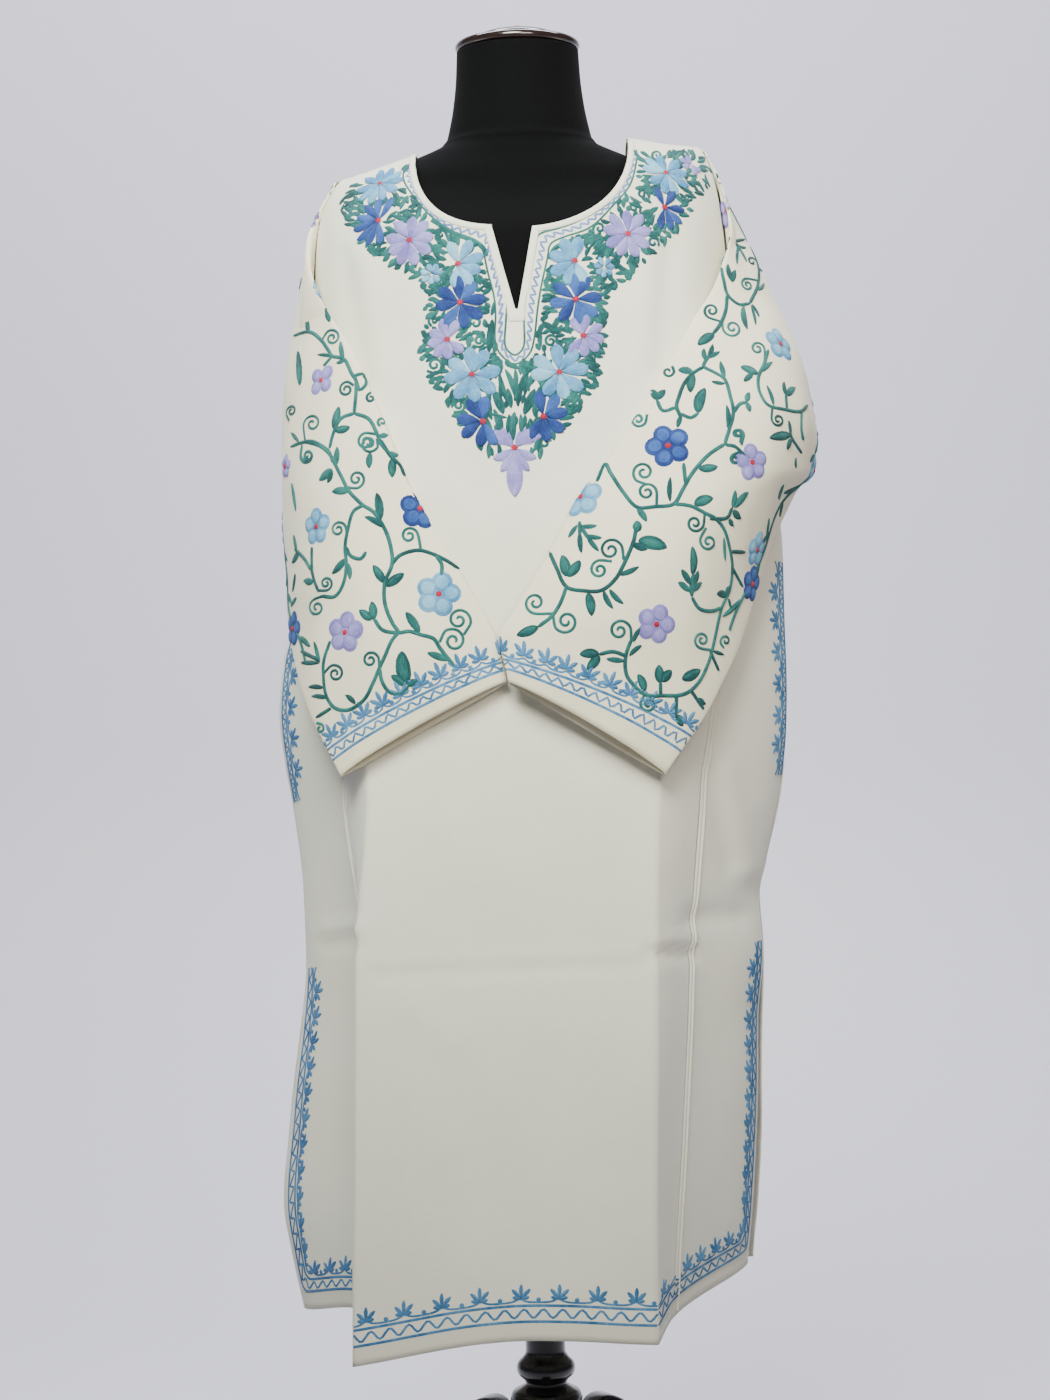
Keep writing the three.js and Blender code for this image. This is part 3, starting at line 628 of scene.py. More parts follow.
def twill_cloth(name, pale, shade):
    """Cotton twill, matte: fine slanting ribs, a soft fuzz at grazing angles and slight creases."""
    material, shader = new_material(name, Roughness=0.92)
    shader.inputs["Sheen Weight"].default_value = 0.25
    shader.inputs["Sheen Roughness"].default_value = 0.5
    shader.inputs["Specular IOR Level"].default_value = 0.25
    cut = add_node(material, "ShaderNodeUVMap", uv_map="cut").outputs["UV"]
    coordinates = add_node(material, "ShaderNodeTexCoord").outputs["Object"]
    # The hem's facing makes the cloth warmer and a little thicker
    facing = hem_facing(material, cut)
    stepped = add_node(
        material, "ShaderNodeBump",
        {"Height": facing, "Distance": 0.0008, "Strength": 1.0,
         "Normal": twill_relief(material, cut, coordinates)},
    ).outputs["Normal"]
    link(material, stepped, shader, "Normal")
    patches = add_node(
        material, "ShaderNodeTexNoise", {"Vector": coordinates, "Scale": 6.0, "Detail": 2.0}
    ).outputs["Fac"]
    warm = add_node(
        material, "ShaderNodeMath", {0: facing, 1: 0.75, 2: patches},
        operation="MULTIPLY_ADD", use_clamp=True,
    ).outputs[0]
    link(material, mixed(material, warm, pale, shade), shader, "Base Color")
    return material


def knit_jersey():
    """Cotton jersey over a hard body: nearly black, matte, with fine upright wales."""
    material, shader = new_material("black cotton jersey", Roughness=0.9)
    shader.inputs["Sheen Weight"].default_value = 0.01
    shader.inputs["Specular IOR Level"].default_value = 0.08
    coordinates = add_node(material, "ShaderNodeTexCoord").outputs["Object"]
    stretched = add_node(
        material, "ShaderNodeMapping", {"Vector": coordinates, "Scale": (1.0, 1.0, 0.35)}
    ).outputs["Vector"]
    fluff = add_node(
        material, "ShaderNodeTexNoise", {"Vector": stretched, "Scale": 700.0, "Detail": 2.0}
    ).outputs["Fac"]
    link(material, mixed(material, fluff, "#040405", "#0A0A0C"), shader, "Base Color")
    bump(material, shader, fluff, 0.0004, 0.6)
    return material


def lacquered_wood(name, dark, light, roughness):
    """Turned wood under gloss lacquer: dark, with a clear hard coat and faint dust in it."""
    material, shader = new_material(name, Roughness=roughness)
    shader.inputs["Coat Weight"].default_value = 0.6
    shader.inputs["Coat Roughness"].default_value = 0.08
    coordinates = add_node(material, "ShaderNodeTexCoord").outputs["Object"]
    streaks = add_node(
        material, "ShaderNodeMapping", {"Vector": coordinates, "Scale": (60.0, 60.0, 6.0)}
    ).outputs["Vector"]
    grain = add_node(
        material, "ShaderNodeTexNoise", {"Vector": streaks, "Scale": 4.0, "Detail": 4.0}
    ).outputs["Fac"]
    link(material, mixed(material, grain, dark, light), shader, "Base Color")
    bump(material, shader, grain, 0.0002, 0.3)
    return material


def dull_brass():
    """Plain brass, a little tarnished: warm yellow metal with fine rubbed marks."""
    material, shader = new_material("dull brass", Metallic=1.0, Roughness=0.35)
    coordinates = add_node(material, "ShaderNodeTexCoord").outputs["Object"]
    tarnish = add_node(
        material, "ShaderNodeTexNoise", {"Vector": coordinates, "Scale": 500.0, "Detail": 3.0}
    ).outputs["Fac"]
    link(material, mixed(material, tarnish, "#8A6B33", "#C9A75C"), shader, "Base Color")
    bump(material, shader, tarnish, 0.0001, 0.4)
    return material


CREAM_TWILL = twill_cloth("cream cotton twill", "#E8E6D8", "#DAD6C2")
SLEEVE_TWILL = twill_cloth("cream cotton twill of the sleeves", "#ECE5CD", "#E1D9BD")
BAG_COTTON = twill_cloth("plain cotton of the pocket bags", "#DDD8CB", "#D2CCBC")
JERSEY = knit_jersey()
STAND_LACQUER = lacquered_wood("black lacquered beech", "#0A0909", "#141111", 0.25)
CAP_LACQUER = lacquered_wood("dark lacquered cap", "#120D0F", "#2A1A14", 0.18)
BRASS = dull_brass()


# ---------------------------------------------------------------- making pieces

def new_piece(name, bm, material):
    mesh = bpy.data.meshes.new(name)
    bm.to_mesh(mesh)
    bm.free()
    mesh.shade_smooth()
    mesh.materials.append(material)
    piece = bpy.data.objects.new(name, mesh)
    bpy.context.collection.objects.link(piece)
    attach(piece, "root")
    return piece


def cloth_grid(us, vs, surface, relief, offset, closed=False, hem_last=False):
    """Grid over surface(u, v), moved out by offset. Its UVs are the cut's own metres, up from the
    hem, which is the first row or the last."""
    bm = bmesh.new()
    cut = bm.loops.layers.uv.new("cut")
    out = bm.verts.layers.float.new("out")
    columns, rows = len(us) - 1, len(vs) - 1
    bmesh.ops.create_grid(bm, x_segments=columns, y_segments=rows, size=0.5)
    grid = {}
    for vert in bm.verts:
        place = round((vert.co.x + 0.5) * columns), round((vert.co.y + 0.5) * rows)
        point = surface(us[place[0]], vs[place[1]])
        vert.co = in_metres(point)
        vert[out] = (offset + relief(point)) * MM
        grid[place] = vert
    middle = columns // 2
    spot = {}
    height = 0
    for j in range(rows + 1):
        if j:
            height += (grid[middle, j].co - grid[middle, j - 1].co).length
        for way in (1, -1):
            x = 0
            last = grid[middle, j]
            for i in range(middle, columns + 1) if way > 0 else range(middle, -1, -1):
                x += (grid[i, j].co - last.co).length
                last = grid[i, j]
                spot[last] = (way * x, height)
    if hem_last:
        spot = {vert: (x, height - y) for vert, (x, y) in spot.items()}
    for face in bm.faces:
        for loop in face.loops:
            loop[cut].uv = spot[loop.vert]
    if closed:
        bmesh.ops.remove_doubles(bm, verts=bm.verts[:], dist=1e-6)
    bm.normal_update()
    for vert in bm.verts:
        vert.co += vert.normal * vert[out]
    bm.verts.layers.float.remove(out)
    bm.normal_update()
    return bm


GROUNDS = {}


def cloth_piece(name, bm, material, thickness, node):
    """A sheet with its wall; its outer face is kept for what is stitched on it."""
    GROUNDS[node] = BVHTree.FromBMesh(bm)
    piece = new_piece(name, bm, material)
    wall = piece.modifiers.new("wall", "SOLIDIFY")
    wall.thickness = thickness * MM
    wall.offset = -1
    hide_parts(node)
    return piece


def settle(piece):
    """Make a piece's modifiers part of its mesh."""
    depsgraph = bpy.context.evaluated_depsgraph_get()
    piece.data = bpy.data.meshes.new_from_object(piece.evaluated_get(depsgraph))
    piece.modifiers.clear()


# ---------------------------------------------------------------- the neck's outline

def neck_arc(side, grow, depth, steps=40):
    """Half of the neck's curve, from the shoulder down to the notch."""
    neck = NECK[side]
    sign = -1 if side == "left" else 1
    stop = (NOTCH["left_x"] if side == "left" else NOTCH["right_x"]) - NECK_CENTRE_X
    reach = neck["half_width"] + grow
    power = neck["power"]
    last = math.acos(min(1, (abs(stop) / reach) ** (power / 2)))
    arc = []
    for angle in even(steps, 0, last):
        x = NECK_CENTRE_X + sign * reach * math.cos(angle) ** (2 / power)
        arc.append(Vector((x, neck["centre_z"] - (depth + grow) * math.sin(angle) ** (2 / power))))
    return arc


def front_neck_outline(grow):
    left = neck_arc("left", grow, NECK["left"]["depth"])
    right = neck_arc("right", grow, NECK["right"]["depth"])[::-1]
    left[-1].x = NOTCH["left_x"] - grow
    right[0].x = NOTCH["right_x"] + grow
    tip = NOTCH["tip_half_width"] + grow
    tip_z = NOTCH["tip_z"] - 2 * grow
    return [*left, Vector((NOTCH["tip_x"] - tip, tip_z)), Vector((NOTCH["tip_x"] + tip, tip_z)), *right]


def back_neck_outline(grow):
    left = neck_arc("left", grow, BACK_NECK_DEPTH)
    right = neck_arc("right", grow, BACK_NECK_DEPTH)[::-1]
    return [*left, *right]


def cut_neck(piece, outline, from_y, to_y):
    """Cut the neck out of a panel with a prism of its outline."""
    bm = bmesh.new()
    rim = [Vector((outline[0].x, NECK_TOP_Z)), *outline, Vector((outline[-1].x, NECK_TOP_Z))]
    face = bm.faces.new([bm.verts.new(in_metres(Vector((p.x, from_y, p.y)))) for p in rim])
    extruded = bmesh.ops.extrude_face_region(bm, geom=[face])
    moved = [v for v in extruded["geom"] if isinstance(v, bmesh.types.BMVert)]
    bmesh.ops.translate(bm, verts=moved, vec=(0, (to_y - from_y) * MM, 0))
    bmesh.ops.recalc_face_normals(bm, faces=bm.faces[:])
    mesh = bpy.data.meshes.new("neck cutter")
    bm.to_mesh(mesh)
    bm.free()
    cutter = bpy.data.objects.new("neck cutter", mesh)
    bpy.context.collection.objects.link(cutter)
    cut = piece.modifiers.new("neck", "BOOLEAN")
    cut.operation = "DIFFERENCE"
    cut.solver = "EXACT"
    cut.object = cutter
    settle(piece)
    bpy.data.objects.remove(cutter)
    bpy.data.meshes.remove(mesh)


# ---------------------------------------------------------------- the cloth pieces

OUTER_FACE = 1.4
BODY_THICKNESS = 1.1


def panel_rows(below, above):
    return [*even(below, 0, 1), *even(above, 1, SHOULDER_ROW)[1:]]


def front_panel():
    us = [*even(18, 2, 3), *even(64, 3, 5)[1:], *even(18, 5, 6)[1:]]
    bm = cloth_grid(us, panel_rows(130, 60), front_surface, front_relief, OUTER_FACE)
    piece = cloth_piece("front_panel_cloth", bm, CREAM_TWILL, BODY_THICKNESS, "front_panel")
    cut_neck(piece, front_neck_outline(0), 20, -280)
    return piece


def back_panel():
    bm = cloth_grid(even(84, 2, 6), panel_rows(110, 50), back_surface, back_relief, OUTER_FACE)
    piece = cloth_piece("back_panel_cloth", bm, CREAM_TWILL, BODY_THICKNESS, "back_panel")
    cut_neck(piece, back_neck_outline(0), -20, 280)
    return piece


def gore(side, half):
    surface = front_surface if half == "front" else back_surface
    relief = front_relief if half == "front" else back_relief
    first = 1 if (side == "left") == (half == "front") else 6
    bm = cloth_grid(even(28, first, first + 1), even(120), surface, relief, OUTER_FACE)
    name = f"{half}_gore_{side}"
    return cloth_piece(f"{name}_cloth", bm, CREAM_TWILL, BODY_THICKNESS, name)


def sleeve(side):
    # The tube is joined under the arm, on the layer that lies against the body
    turns = even(120, -0.5, 0.5)

    def surface(turn, v):
        return sleeve_surface(side, -turn if side == "left" else turn, v)

    bm = cloth_grid(turns, even(130), surface, sleeve_relief, SLEEVE_WALL, closed=True, hem_last=True)
    return cloth_piece(f"sleeve_{side}_cloth", bm, SLEEVE_TWILL, 1.0, f"sleeve_{side}")


def binding(half):
    """The neck's turned edge: a narrow band folded over the panel's raw edge."""
    ground = GROUNDS[f"{half}_panel"]
    outline_at = front_neck_outline if half == "front" else back_neck_outline
    start, way = (-400, 1) if half == "front" else (400, -1)
    section = [(5.5, 0.05), (5.0, 0.75), (3.4, 1.15), (1.6, 1.2), (0.4, 0.8), (-0.3, 0), (-0.3, -1.3)]
    lines = []
    for grow, lift in section:
        outline = outline_at(grow)
        points = []
        for a, b in zip(outline, outline[1:]):
            points += [a.lerp(b, t) for t in even(2)[:-1]]
        points.append(outline[-1])
        line = []
        for p in points:
            origin = in_metres(Vector((p.x, start, p.y)))
            place, normal = ground.ray_cast(origin, Vector((0, way, 0)))[:2]
            if place is None:
                place, normal = ground.find_nearest(in_metres(Vector((p.x, 0, p.y))))[:2]
            line.append(place + normal * (lift * MM))
        lines.append(line)
    bm = bmesh.new()
    cut = bm.loops.layers.uv.new("cut")
    long, across = len(lines[0]) - 1, len(section) - 1
    bmesh.ops.create_grid(bm, x_segments=long, y_segments=across, size=0.5)
    spot = {}
    for vert in bm.verts:
        i, j = round((vert.co.x + 0.5) * long), round((vert.co.y + 0.5) * across)
        vert.co = lines[j][i]
        spot[vert] = i * 0.002, 0.1 + j * 0.001
    for face in bm.faces:
        for loop in face.loops:
            loop[cut].uv = spot[loop.vert]
    if half == "back":
        bmesh.ops.reverse_faces(bm, faces=bm.faces[:])
    piece = new_piece(f"neck_binding_{half}_cloth", bm, CREAM_TWILL)
    wall = piece.modifiers.new("wall", "SOLIDIFY")
    wall.thickness = 0.4 * MM
    wall.offset = -1
    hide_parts(f"neck_binding_{half}")
    return piece


def pocket_bag(side):
    """Two layers of plain cotton inside the front gore, joined by a fold and open at the side."""
    low, high = ((z - SIDE_LINES[side][0]) / (SIDE_LINES[side][1] - SIDE_LINES[side][0])
                 for z in (POCKET["bottom_z"], POCKET["top_z"]))
    mouth, inwards = (1, 1) if side == "left" else (7, -1)

    def surface(w, row):
        if side == "left":
            w = 1 - w
        depth = clamp((1 - abs(2 * w - 1)) / 0.94)
        fold = smoothstep(clamp((w - 0.42) / 0.16))
        u = mouth + inwards * (0.02 + POCKET["reach"] * depth)
        step = 0.01
        along = front_surface(u + step, row) - front_surface(u - step, row)
        up = front_surface(u, row + step) - front_surface(u, row - step)
        normal = along.cross(up).normalized()
        return front_surface(u, row) - normal * lerp(POCKET["near"], POCKET["far"], fold)

    bm = cloth_grid(even(56), even(40, low, high), surface, lambda point: 0.0, 0)
    name = f"pocket_bag_{side}"
    return cloth_piece(f"{name}_cloth", bm, BAG_COTTON, 1.0, name)


# ---------------------------------------------------------------- chain stitch

def chain_stitch(name, deep, pale):
    """Wool yarn in rows of chain stitch: small raised links, each one a little lighter or darker, with
    painted shade in the narrow gaps between them, in yarn whose dye changes slowly along it."""
    material, shader = new_material(name, Roughness=0.78)
    shader.inputs["Sheen Weight"].default_value = 0.08
    shader.inputs["Sheen Roughness"].default_value = 0.4
    shader.inputs["Specular IOR Level"].default_value = 0.3
    stitch = add_node(material, "ShaderNodeUVMap", uv_map="stitch").outputs["UV"]
    coordinates = add_node(material, "ShaderNodeTexCoord").outputs["Object"]
    # Links 3.4 mm long in rows 1.8 mm apart. Real ones are half as big and wouldn't show.
    # The dark mortar colour is painted shade in the narrow gaps between links
    links = add_node(
        material, "ShaderNodeTexBrick",
        {"Vector": stitch, "Scale": 100.0, "Brick Width": 0.34, "Row Height": 0.18,
         "Mortar Size": 0.03, "Mortar Smooth": 1.0,
         "Color1": (1, 1, 1, 1), "Color2": (0, 0, 0, 1), "Mortar": (0.1, 0.1, 0.1, 1)},
    )
    dye = add_node(
        material, "ShaderNodeTexNoise", {"Vector": coordinates, "Scale": 55.0, "Detail": 1.0}
    ).outputs["Fac"]
    spread = add_node(
        material, "ShaderNodeMapRange",
        {"Value": dye, "From Min": 0.36, "From Max": 0.64, "To Min": 0.0, "To Max": 0.45},
    ).outputs["Result"]
    tone = add_node(
        material, "ShaderNodeMath", {0: links.outputs["Color"], 1: 0.34, 2: spread},
        operation="MULTIPLY_ADD",
    ).outputs[0]
    link(material, mixed(material, tone, deep, pale), shader, "Base Color")
    fibre = add_node(
        material, "ShaderNodeTexNoise", {"Vector": coordinates, "Scale": 2500.0, "Detail": 1.0}
    ).outputs["Fac"]
    raised = add_node(
        material, "ShaderNodeMath", {0: links.outputs["Fac"], 1: -1.0, 2: fibre},
        operation="MULTIPLY_ADD",
    ).outputs[0]
    bump(material, shader, raised, 0.0006, 0.7)
    return material


YARNS = {
    "teal": chain_stitch("teal wool chain stitch", "#12464A", "#37827B"),
    "deep teal": chain_stitch("deep teal wool chain stitch", "#103A3D", "#266A68"),
    "sky": chain_stitch("light blue wool chain stitch", "#3D7CAF", "#7FB6D8"),
    "pale sky": chain_stitch("pale blue wool chain stitch", "#5E9DC6", "#9BCBE3"),
    "navy": chain_stitch("dark blue wool chain stitch", "#182A66", "#34539A"),
    "blue": chain_stitch("mid blue wool chain stitch", "#26468C", "#4870B4"),
    "lilac": chain_stitch("lilac wool chain stitch", "#6C62AC", "#9890CE"),
    "lavender": chain_stitch("lavender wool chain stitch", "#7B72BA", "#AFA7E0"),
    "red": chain_stitch("red wool chain stitch", "#98182D", "#C23048"),
    "border": chain_stitch("border blue chain stitch", "#2F6696", "#679DC8"),
    "slit border": chain_stitch("dark blue chain stitch of the left slit", "#2C5A8E", "#5E93C0"),
    "neck green": chain_stitch("green chain stitch of the neck", "#1A4B47", "#3C7F74"),
    "neck blue": chain_stitch("blue-grey chain stitch of the neck", "#4A679F", "#7F9BCB"),
    "welt": CREAM_TWILL,
}
STITCHES = {}
ROW = 1.8


def stitches(ground, yarn):
    """The mesh that gathers all stitches of one yarn on one piece of cloth."""
    key = ground, yarn
    if key not in STITCHES:
        STITCHES[key] = bmesh.new()
        STITCHES[key].loops.layers.uv.new("cut" if yarn == "welt" else "stitch")
    return STITCHES[key]


def on_cloth(ground, x, z, reach=8):
    """Where a line from straight ahead meets the cloth, or the nearest place to that line. None if
    that is further off than the reach."""
    tree = GROUNDS[ground]
    spot = tree.ray_cast(in_metres(Vector((x, -400, z))), Vector((0, 1, 0)))
    if spot[0]:
        return spot[0]
    near = (tree.find_nearest(in_metres(Vector((x, y, z)))) for y in range(-200, 60, 10))
    place, _, _, distance = min(near, key=lambda found: found[3])
    return place if distance < reach * MM else None


def strip(ground, yarn, spine, widths, height, rows=None, across=4, sunk=0.15, lift=0.0):
    """Stitches along a spine of points (metres) on the cloth, raised in the middle. Rows run along
    the spine; where their number isn't given, it follows from the width."""
    tree = GROUNDS[ground]
    bm = stitches(ground, yarn)
    uv = bm.loops.layers.uv.active
    last = len(spine) - 1
    made = bmesh.ops.create_grid(bm, x_segments=across, y_segments=last, size=0.5)["verts"]
    lengths = [0]
    for a, b in zip(spine, spine[1:]):
        lengths.append(lengths[-1] + (b - a).length)
    shift = RANDOM.random() * 0.05
    frames = []
    for i, point in enumerate(spine):
        normal = tree.find_nearest(point)[1]
        along = spine[min(i + 1, last)] - spine[max(i - 1, 0)]
        frames.append(normal.cross(along).normalized())
    spots = {}
    for vert in made:
        side = 2 * vert.co.x
        i = round((vert.co.y + 0.5) * last)
        half = widths[i] / 2 * MM
        place, normal = tree.find_nearest(spine[i] + frames[i] * side * half)[:2]
        rise = lift + lerp(-sunk, height, math.sqrt(max(0, 1 - side * side)))
        vert.co = place + normal * (rise * MM)
        v = (side + 1) / 2 * rows * ROW * MM if rows else side * half
        spots[vert] = lengths[i] + shift, v
    for face in {face for vert in made for face in vert.link_faces}:
        for loop in face.loops:
            loop[uv].uv = spots[loop.vert]


RANDOM = random.Random(7)


def smooth_path(ground, points, step=2.5):
    """A smooth line over the cloth through (x, z) places seen from the front."""
    path = rounded([in_metres(Vector((x, 0, z))) for x, z in points], step * MM)
    placed = [on_cloth(ground, *((p - AXIS) / MM).xz, 4) for p in path]
    kept = []
    for point in placed:
        if point and (not kept or 0.4 * step * MM < (point - kept[-1]).length < 12 * MM):
            kept.append(point)
    return kept


def line(ground, yarn, spine, width, height=0.7, rows=1, across=2):
    strip(ground, yarn, spine, [width] * len(spine), height, rows, across)


def vine(ground, points, width=4.0):
    spine = smooth_path(ground, points)
    if len(spine) < 4:
        return
    widths = [width * (1 if 0 < i < len(spine) - 1 else 0.6) for i in range(len(spine))]
    strip(ground, RANDOM.choice(("teal", "teal", "deep teal")), spine, widths, 1.2, rows=3, across=4)


def drop(ground, yarn, start, end, width, fullness, height=0.8, bend=0, steps=7, lift=0.0):
    """A filled leaf or petal from start to end; fullness over 1 is broadest near the end."""
    normal = GROUNDS[ground].find_nearest(start.lerp(end, 0.5))[1]
    sideways = normal.cross(end - start)
    spine = []
    widths = []
    for k in range(steps + 1):
        t = (1 - math.cos(math.pi * k / steps)) / 2
        spine.append(start.lerp(end, t) + sideways * (bend * t * (1 - t) * 4))
        widths.append(max(0.15, width * math.sin(math.pi * t ** fullness) ** 0.55))
    strip(ground, yarn, spine, widths, height, lift=lift)


def leaf(ground, start, end, width):
    bend = RANDOM.uniform(-0.08, 0.08)
    yarn = RANDOM.choice(("teal", "deep teal"))
    if width > 7:
        drop(ground, "deep teal", start, end, width * 1.25, 0.9, 0.7, bend, 9)
        inner = start.lerp(end, 0.12), start.lerp(end, 0.88)
        drop(ground, "teal", *inner, width * 0.85, 0.9, 1.2, bend, 9)
    else:
        drop(ground, yarn, start, end, max(4.2, width * 1.3), 0.95, 1.1, bend)


def plane_at(ground, point):
    """The cloth's own sideways and upwards directions at a point."""
    normal = GROUNDS[ground].find_nearest(point)[1]
    up = (Vector((0, 0, 1)) - normal * normal.z).normalized()
    return up.cross(normal), up


def curl(ground, join_x, join_z, x, z, size, width=3.4):
    """A spiral that leaves a vine at the join and winds in; a positive size winds anticlockwise."""
    centre = Vector((x, z))
    start = Vector((join_x, join_z)) - centre
    from_angle = math.atan2(start.y, start.x)
    reach = abs(size)
    turns = 1.55 if reach > 6 else 1.2
    points = [Vector((join_x, join_z))]
    steps = 22
    for k in range(1, steps + 1):
        t = k / steps
        radius = lerp(reach, reach * 0.16, t ** 0.85)
        angle = from_angle + math.copysign(0.5 + t * turns * 2 * math.pi, size)
        points.append(centre + Vector((math.cos(angle), math.sin(angle))) * radius)
    spine = smooth_path(ground, points, 1.8)
    if len(spine) < 4:
        return
    widths = [width * (0.9 if i < len(spine) - 2 else 0.6) for i in range(len(spine))]
    yarn = RANDOM.choice(("teal", "teal", "deep teal"))
    strip(ground, yarn, spine, widths, 0.9, rows=2, across=4)


def patch(ground, yarn, centre, outline, height, rings=4, sides=14, lift=0.0):
    """Stitches that wind in rings over a rounded patch, high in the middle."""
    tree = GROUNDS[ground]
    bm = stitches(ground, yarn)
    uv = bm.loops.layers.uv.active
    right, up = plane_at(ground, centre)
    made = bmesh.ops.create_grid(bm, x_segments=sides, y_segments=rings, size=0.5)["verts"]
    spots = {}
    shift = RANDOM.random() * 0.05
    for vert in made:
        share = vert.co.y + 0.5
        angle = (vert.co.x + 0.5) * 2 * math.pi
        x, y = outline(angle)
        place, normal = tree.find_nearest(centre + (right * x + up * y) * (share * MM))[:2]
        rise = lerp(-0.15, height, math.sqrt(max(0, 1 - share * share))) + lift
        vert.co = place + normal * (rise * MM)
        radius = math.hypot(x, y) * MM
        spots[vert] = angle * radius * 0.6 + shift, radius * share
    for face in {face for vert in made for face in vert.link_faces}:
        for loop in face.loops:
            loop[uv].uv = spots[loop.vert]
    bmesh.ops.remove_doubles(bm, verts=made, dist=1e-5)


def oval(size_x, size_y, turn=0, at_x=0, at_y=0):
    """Outline of an oval whose centre lies at (at_x, at_y), for a patch."""
    def outline(angle):
        x, y = size_x * math.cos(angle), size_y * math.sin(angle)
        c, s = math.cos(turn), math.sin(turn)
        return at_x + x * c - y * s, at_y + x * s + y * c
    return outline


PETAL_RINGS = {"navy": ("navy", "blue"), "sky": ("sky", "pale sky"), "lavender": ("lilac", "lavender")}


def round_petal(ground, yarn, centre, angle, reach):
    """A broad petal whose stitches wind in rings."""
    right, up = plane_at(ground, centre)
    middle = centre + (right * math.cos(angle) + up * math.sin(angle)) * (reach * 0.56 * MM)
    middle = GROUNDS[ground].find_nearest(middle)[0]
    size = reach * RANDOM.uniform(0.44, 0.49)
    rim, heart = PETAL_RINGS[yarn]
    patch(ground, rim, middle, oval(size * 1.04, size, angle), 1.2, lift=0.2)
    patch(ground, heart, middle, oval(size * 0.66, size * 0.6, angle), 0.5, 3, 12, lift=1.35)


def round_flower(ground, x, z, reach, yarn, petals, turn):
    centre = on_cloth(ground, x, z, 30)
    flower_at(ground, centre, reach, yarn, petals, turn)


def flower_at(ground, centre, reach, yarn, petals, turn):
    for k in range(petals):
        angle = math.radians(turn) + (k + RANDOM.uniform(-0.08, 0.08)) * 2 * math.pi / petals
        round_petal(ground, yarn, centre, angle, reach * (1 if petals > 4 else 1.04))
    patch(ground, yarn, centre, oval(reach * 0.3, reach * 0.3), 0.5, 2, 10, lift=0.6)
    patch(ground, "red", centre, oval(2.7, 2.7), 0.9, 2, 8, lift=1.3)


OVER_LEAVES = 1.1
PETAL_TONES = {
    "sky": ("sky", "sky", "pale sky"),
    "navy": ("navy", "navy", "blue"),
    "lavender": ("lavender", "lavender", "lilac"),
}


def daisy(ground, x, z, reach, yarn, petals):
    """A flower of long petals, either that many all round or one at each of the given angles."""
    centre = on_cloth(ground, x, z)
    right, up = plane_at(ground, centre)
    if isinstance(petals, int):
        petals = [360 * (k + RANDOM.uniform(-0.1, 0.1)) / petals + 8 for k in range(petals)]
    around = sorted(petals)
    gap = min((b - a) % 360 for a, b in zip(around, around[1:] + around[:1]))
    width = clamp(1.5 * reach * math.sin(math.radians(gap / 2)), 4.4, 12.5)
    for degrees in petals:
        angle = math.radians(degrees)
        way = right * math.cos(angle) + up * math.sin(angle)
        length = reach * RANDOM.uniform(0.98, 1.1)
        start, end = centre + way * (1.2 * MM), centre + way * (length * MM)
        tone = RANDOM.choice(PETAL_TONES[yarn])
        drop(ground, tone, start, end, width, 1.75, 1.3, RANDOM.uniform(-0.05, 0.05), 9, OVER_LEAVES)
    if reach > 12:
        patch(ground, "red", centre, oval(3, 2.8), 0.8, 2, 8, lift=2.0)


def bottom_flower():
    """The flower at the yoke's point: two broad petals above, two below and a long one between."""
    ground = "front_panel"
    centre = on_cloth(ground, -9, 1172)
    right, up = plane_at(ground, centre)
    for degrees, reach, width, bend in (
        (160, 25, 16, -0.25), (20, 25, 16, 0.25), (205, 21, 9, 0.1), (335, 21, 9, -0.1),
        (238, 24, 9, 0.08), (302, 24, 9, -0.08), (269, 43, 15, 0),
    ):
        angle = math.radians(degrees)
        way = right * math.cos(angle) + up * math.sin(angle)
        start, end = centre + way * (2 * MM), centre + way * (reach * MM)
        drop(ground, "lavender", start, end, width, 1.2, 1.3, bend, 11, 0.4)
    patch(ground, "red", centre, oval(3, 3), 0.8, 2, 8, lift=1.5)


# ---------------------------------------------------------------- filling the yoke

def inside(outline, x, z):
    hits = 0
    for (x0, z0), (x1, z1) in zip(outline, outline[1:] + outline[:1]):
        if (z0 > z) != (z1 > z) and x < x0 + (z - z0) * (x1 - x0) / (z1 - z0):
            hits += 1
    return hits % 2 == 1


def petal_reach(row, angle):
    """How far a daisy fills the cloth in a direction."""
    petals = row[4]
    if isinstance(petals, int):
        return row[2]
    gaps = (abs((math.degrees(angle) - petal + 180) % 360 - 180) for petal in petals)
    return row[2] if min(gaps) < 26 else 4


YOKE_MIDDLE_X = -9
LOWEST_FLOWER_Z = 1172
LOWEST_FLOWER_CLEARANCE = 15
LEAF_SPACING = 5.8
LEAF_ROWS = 72


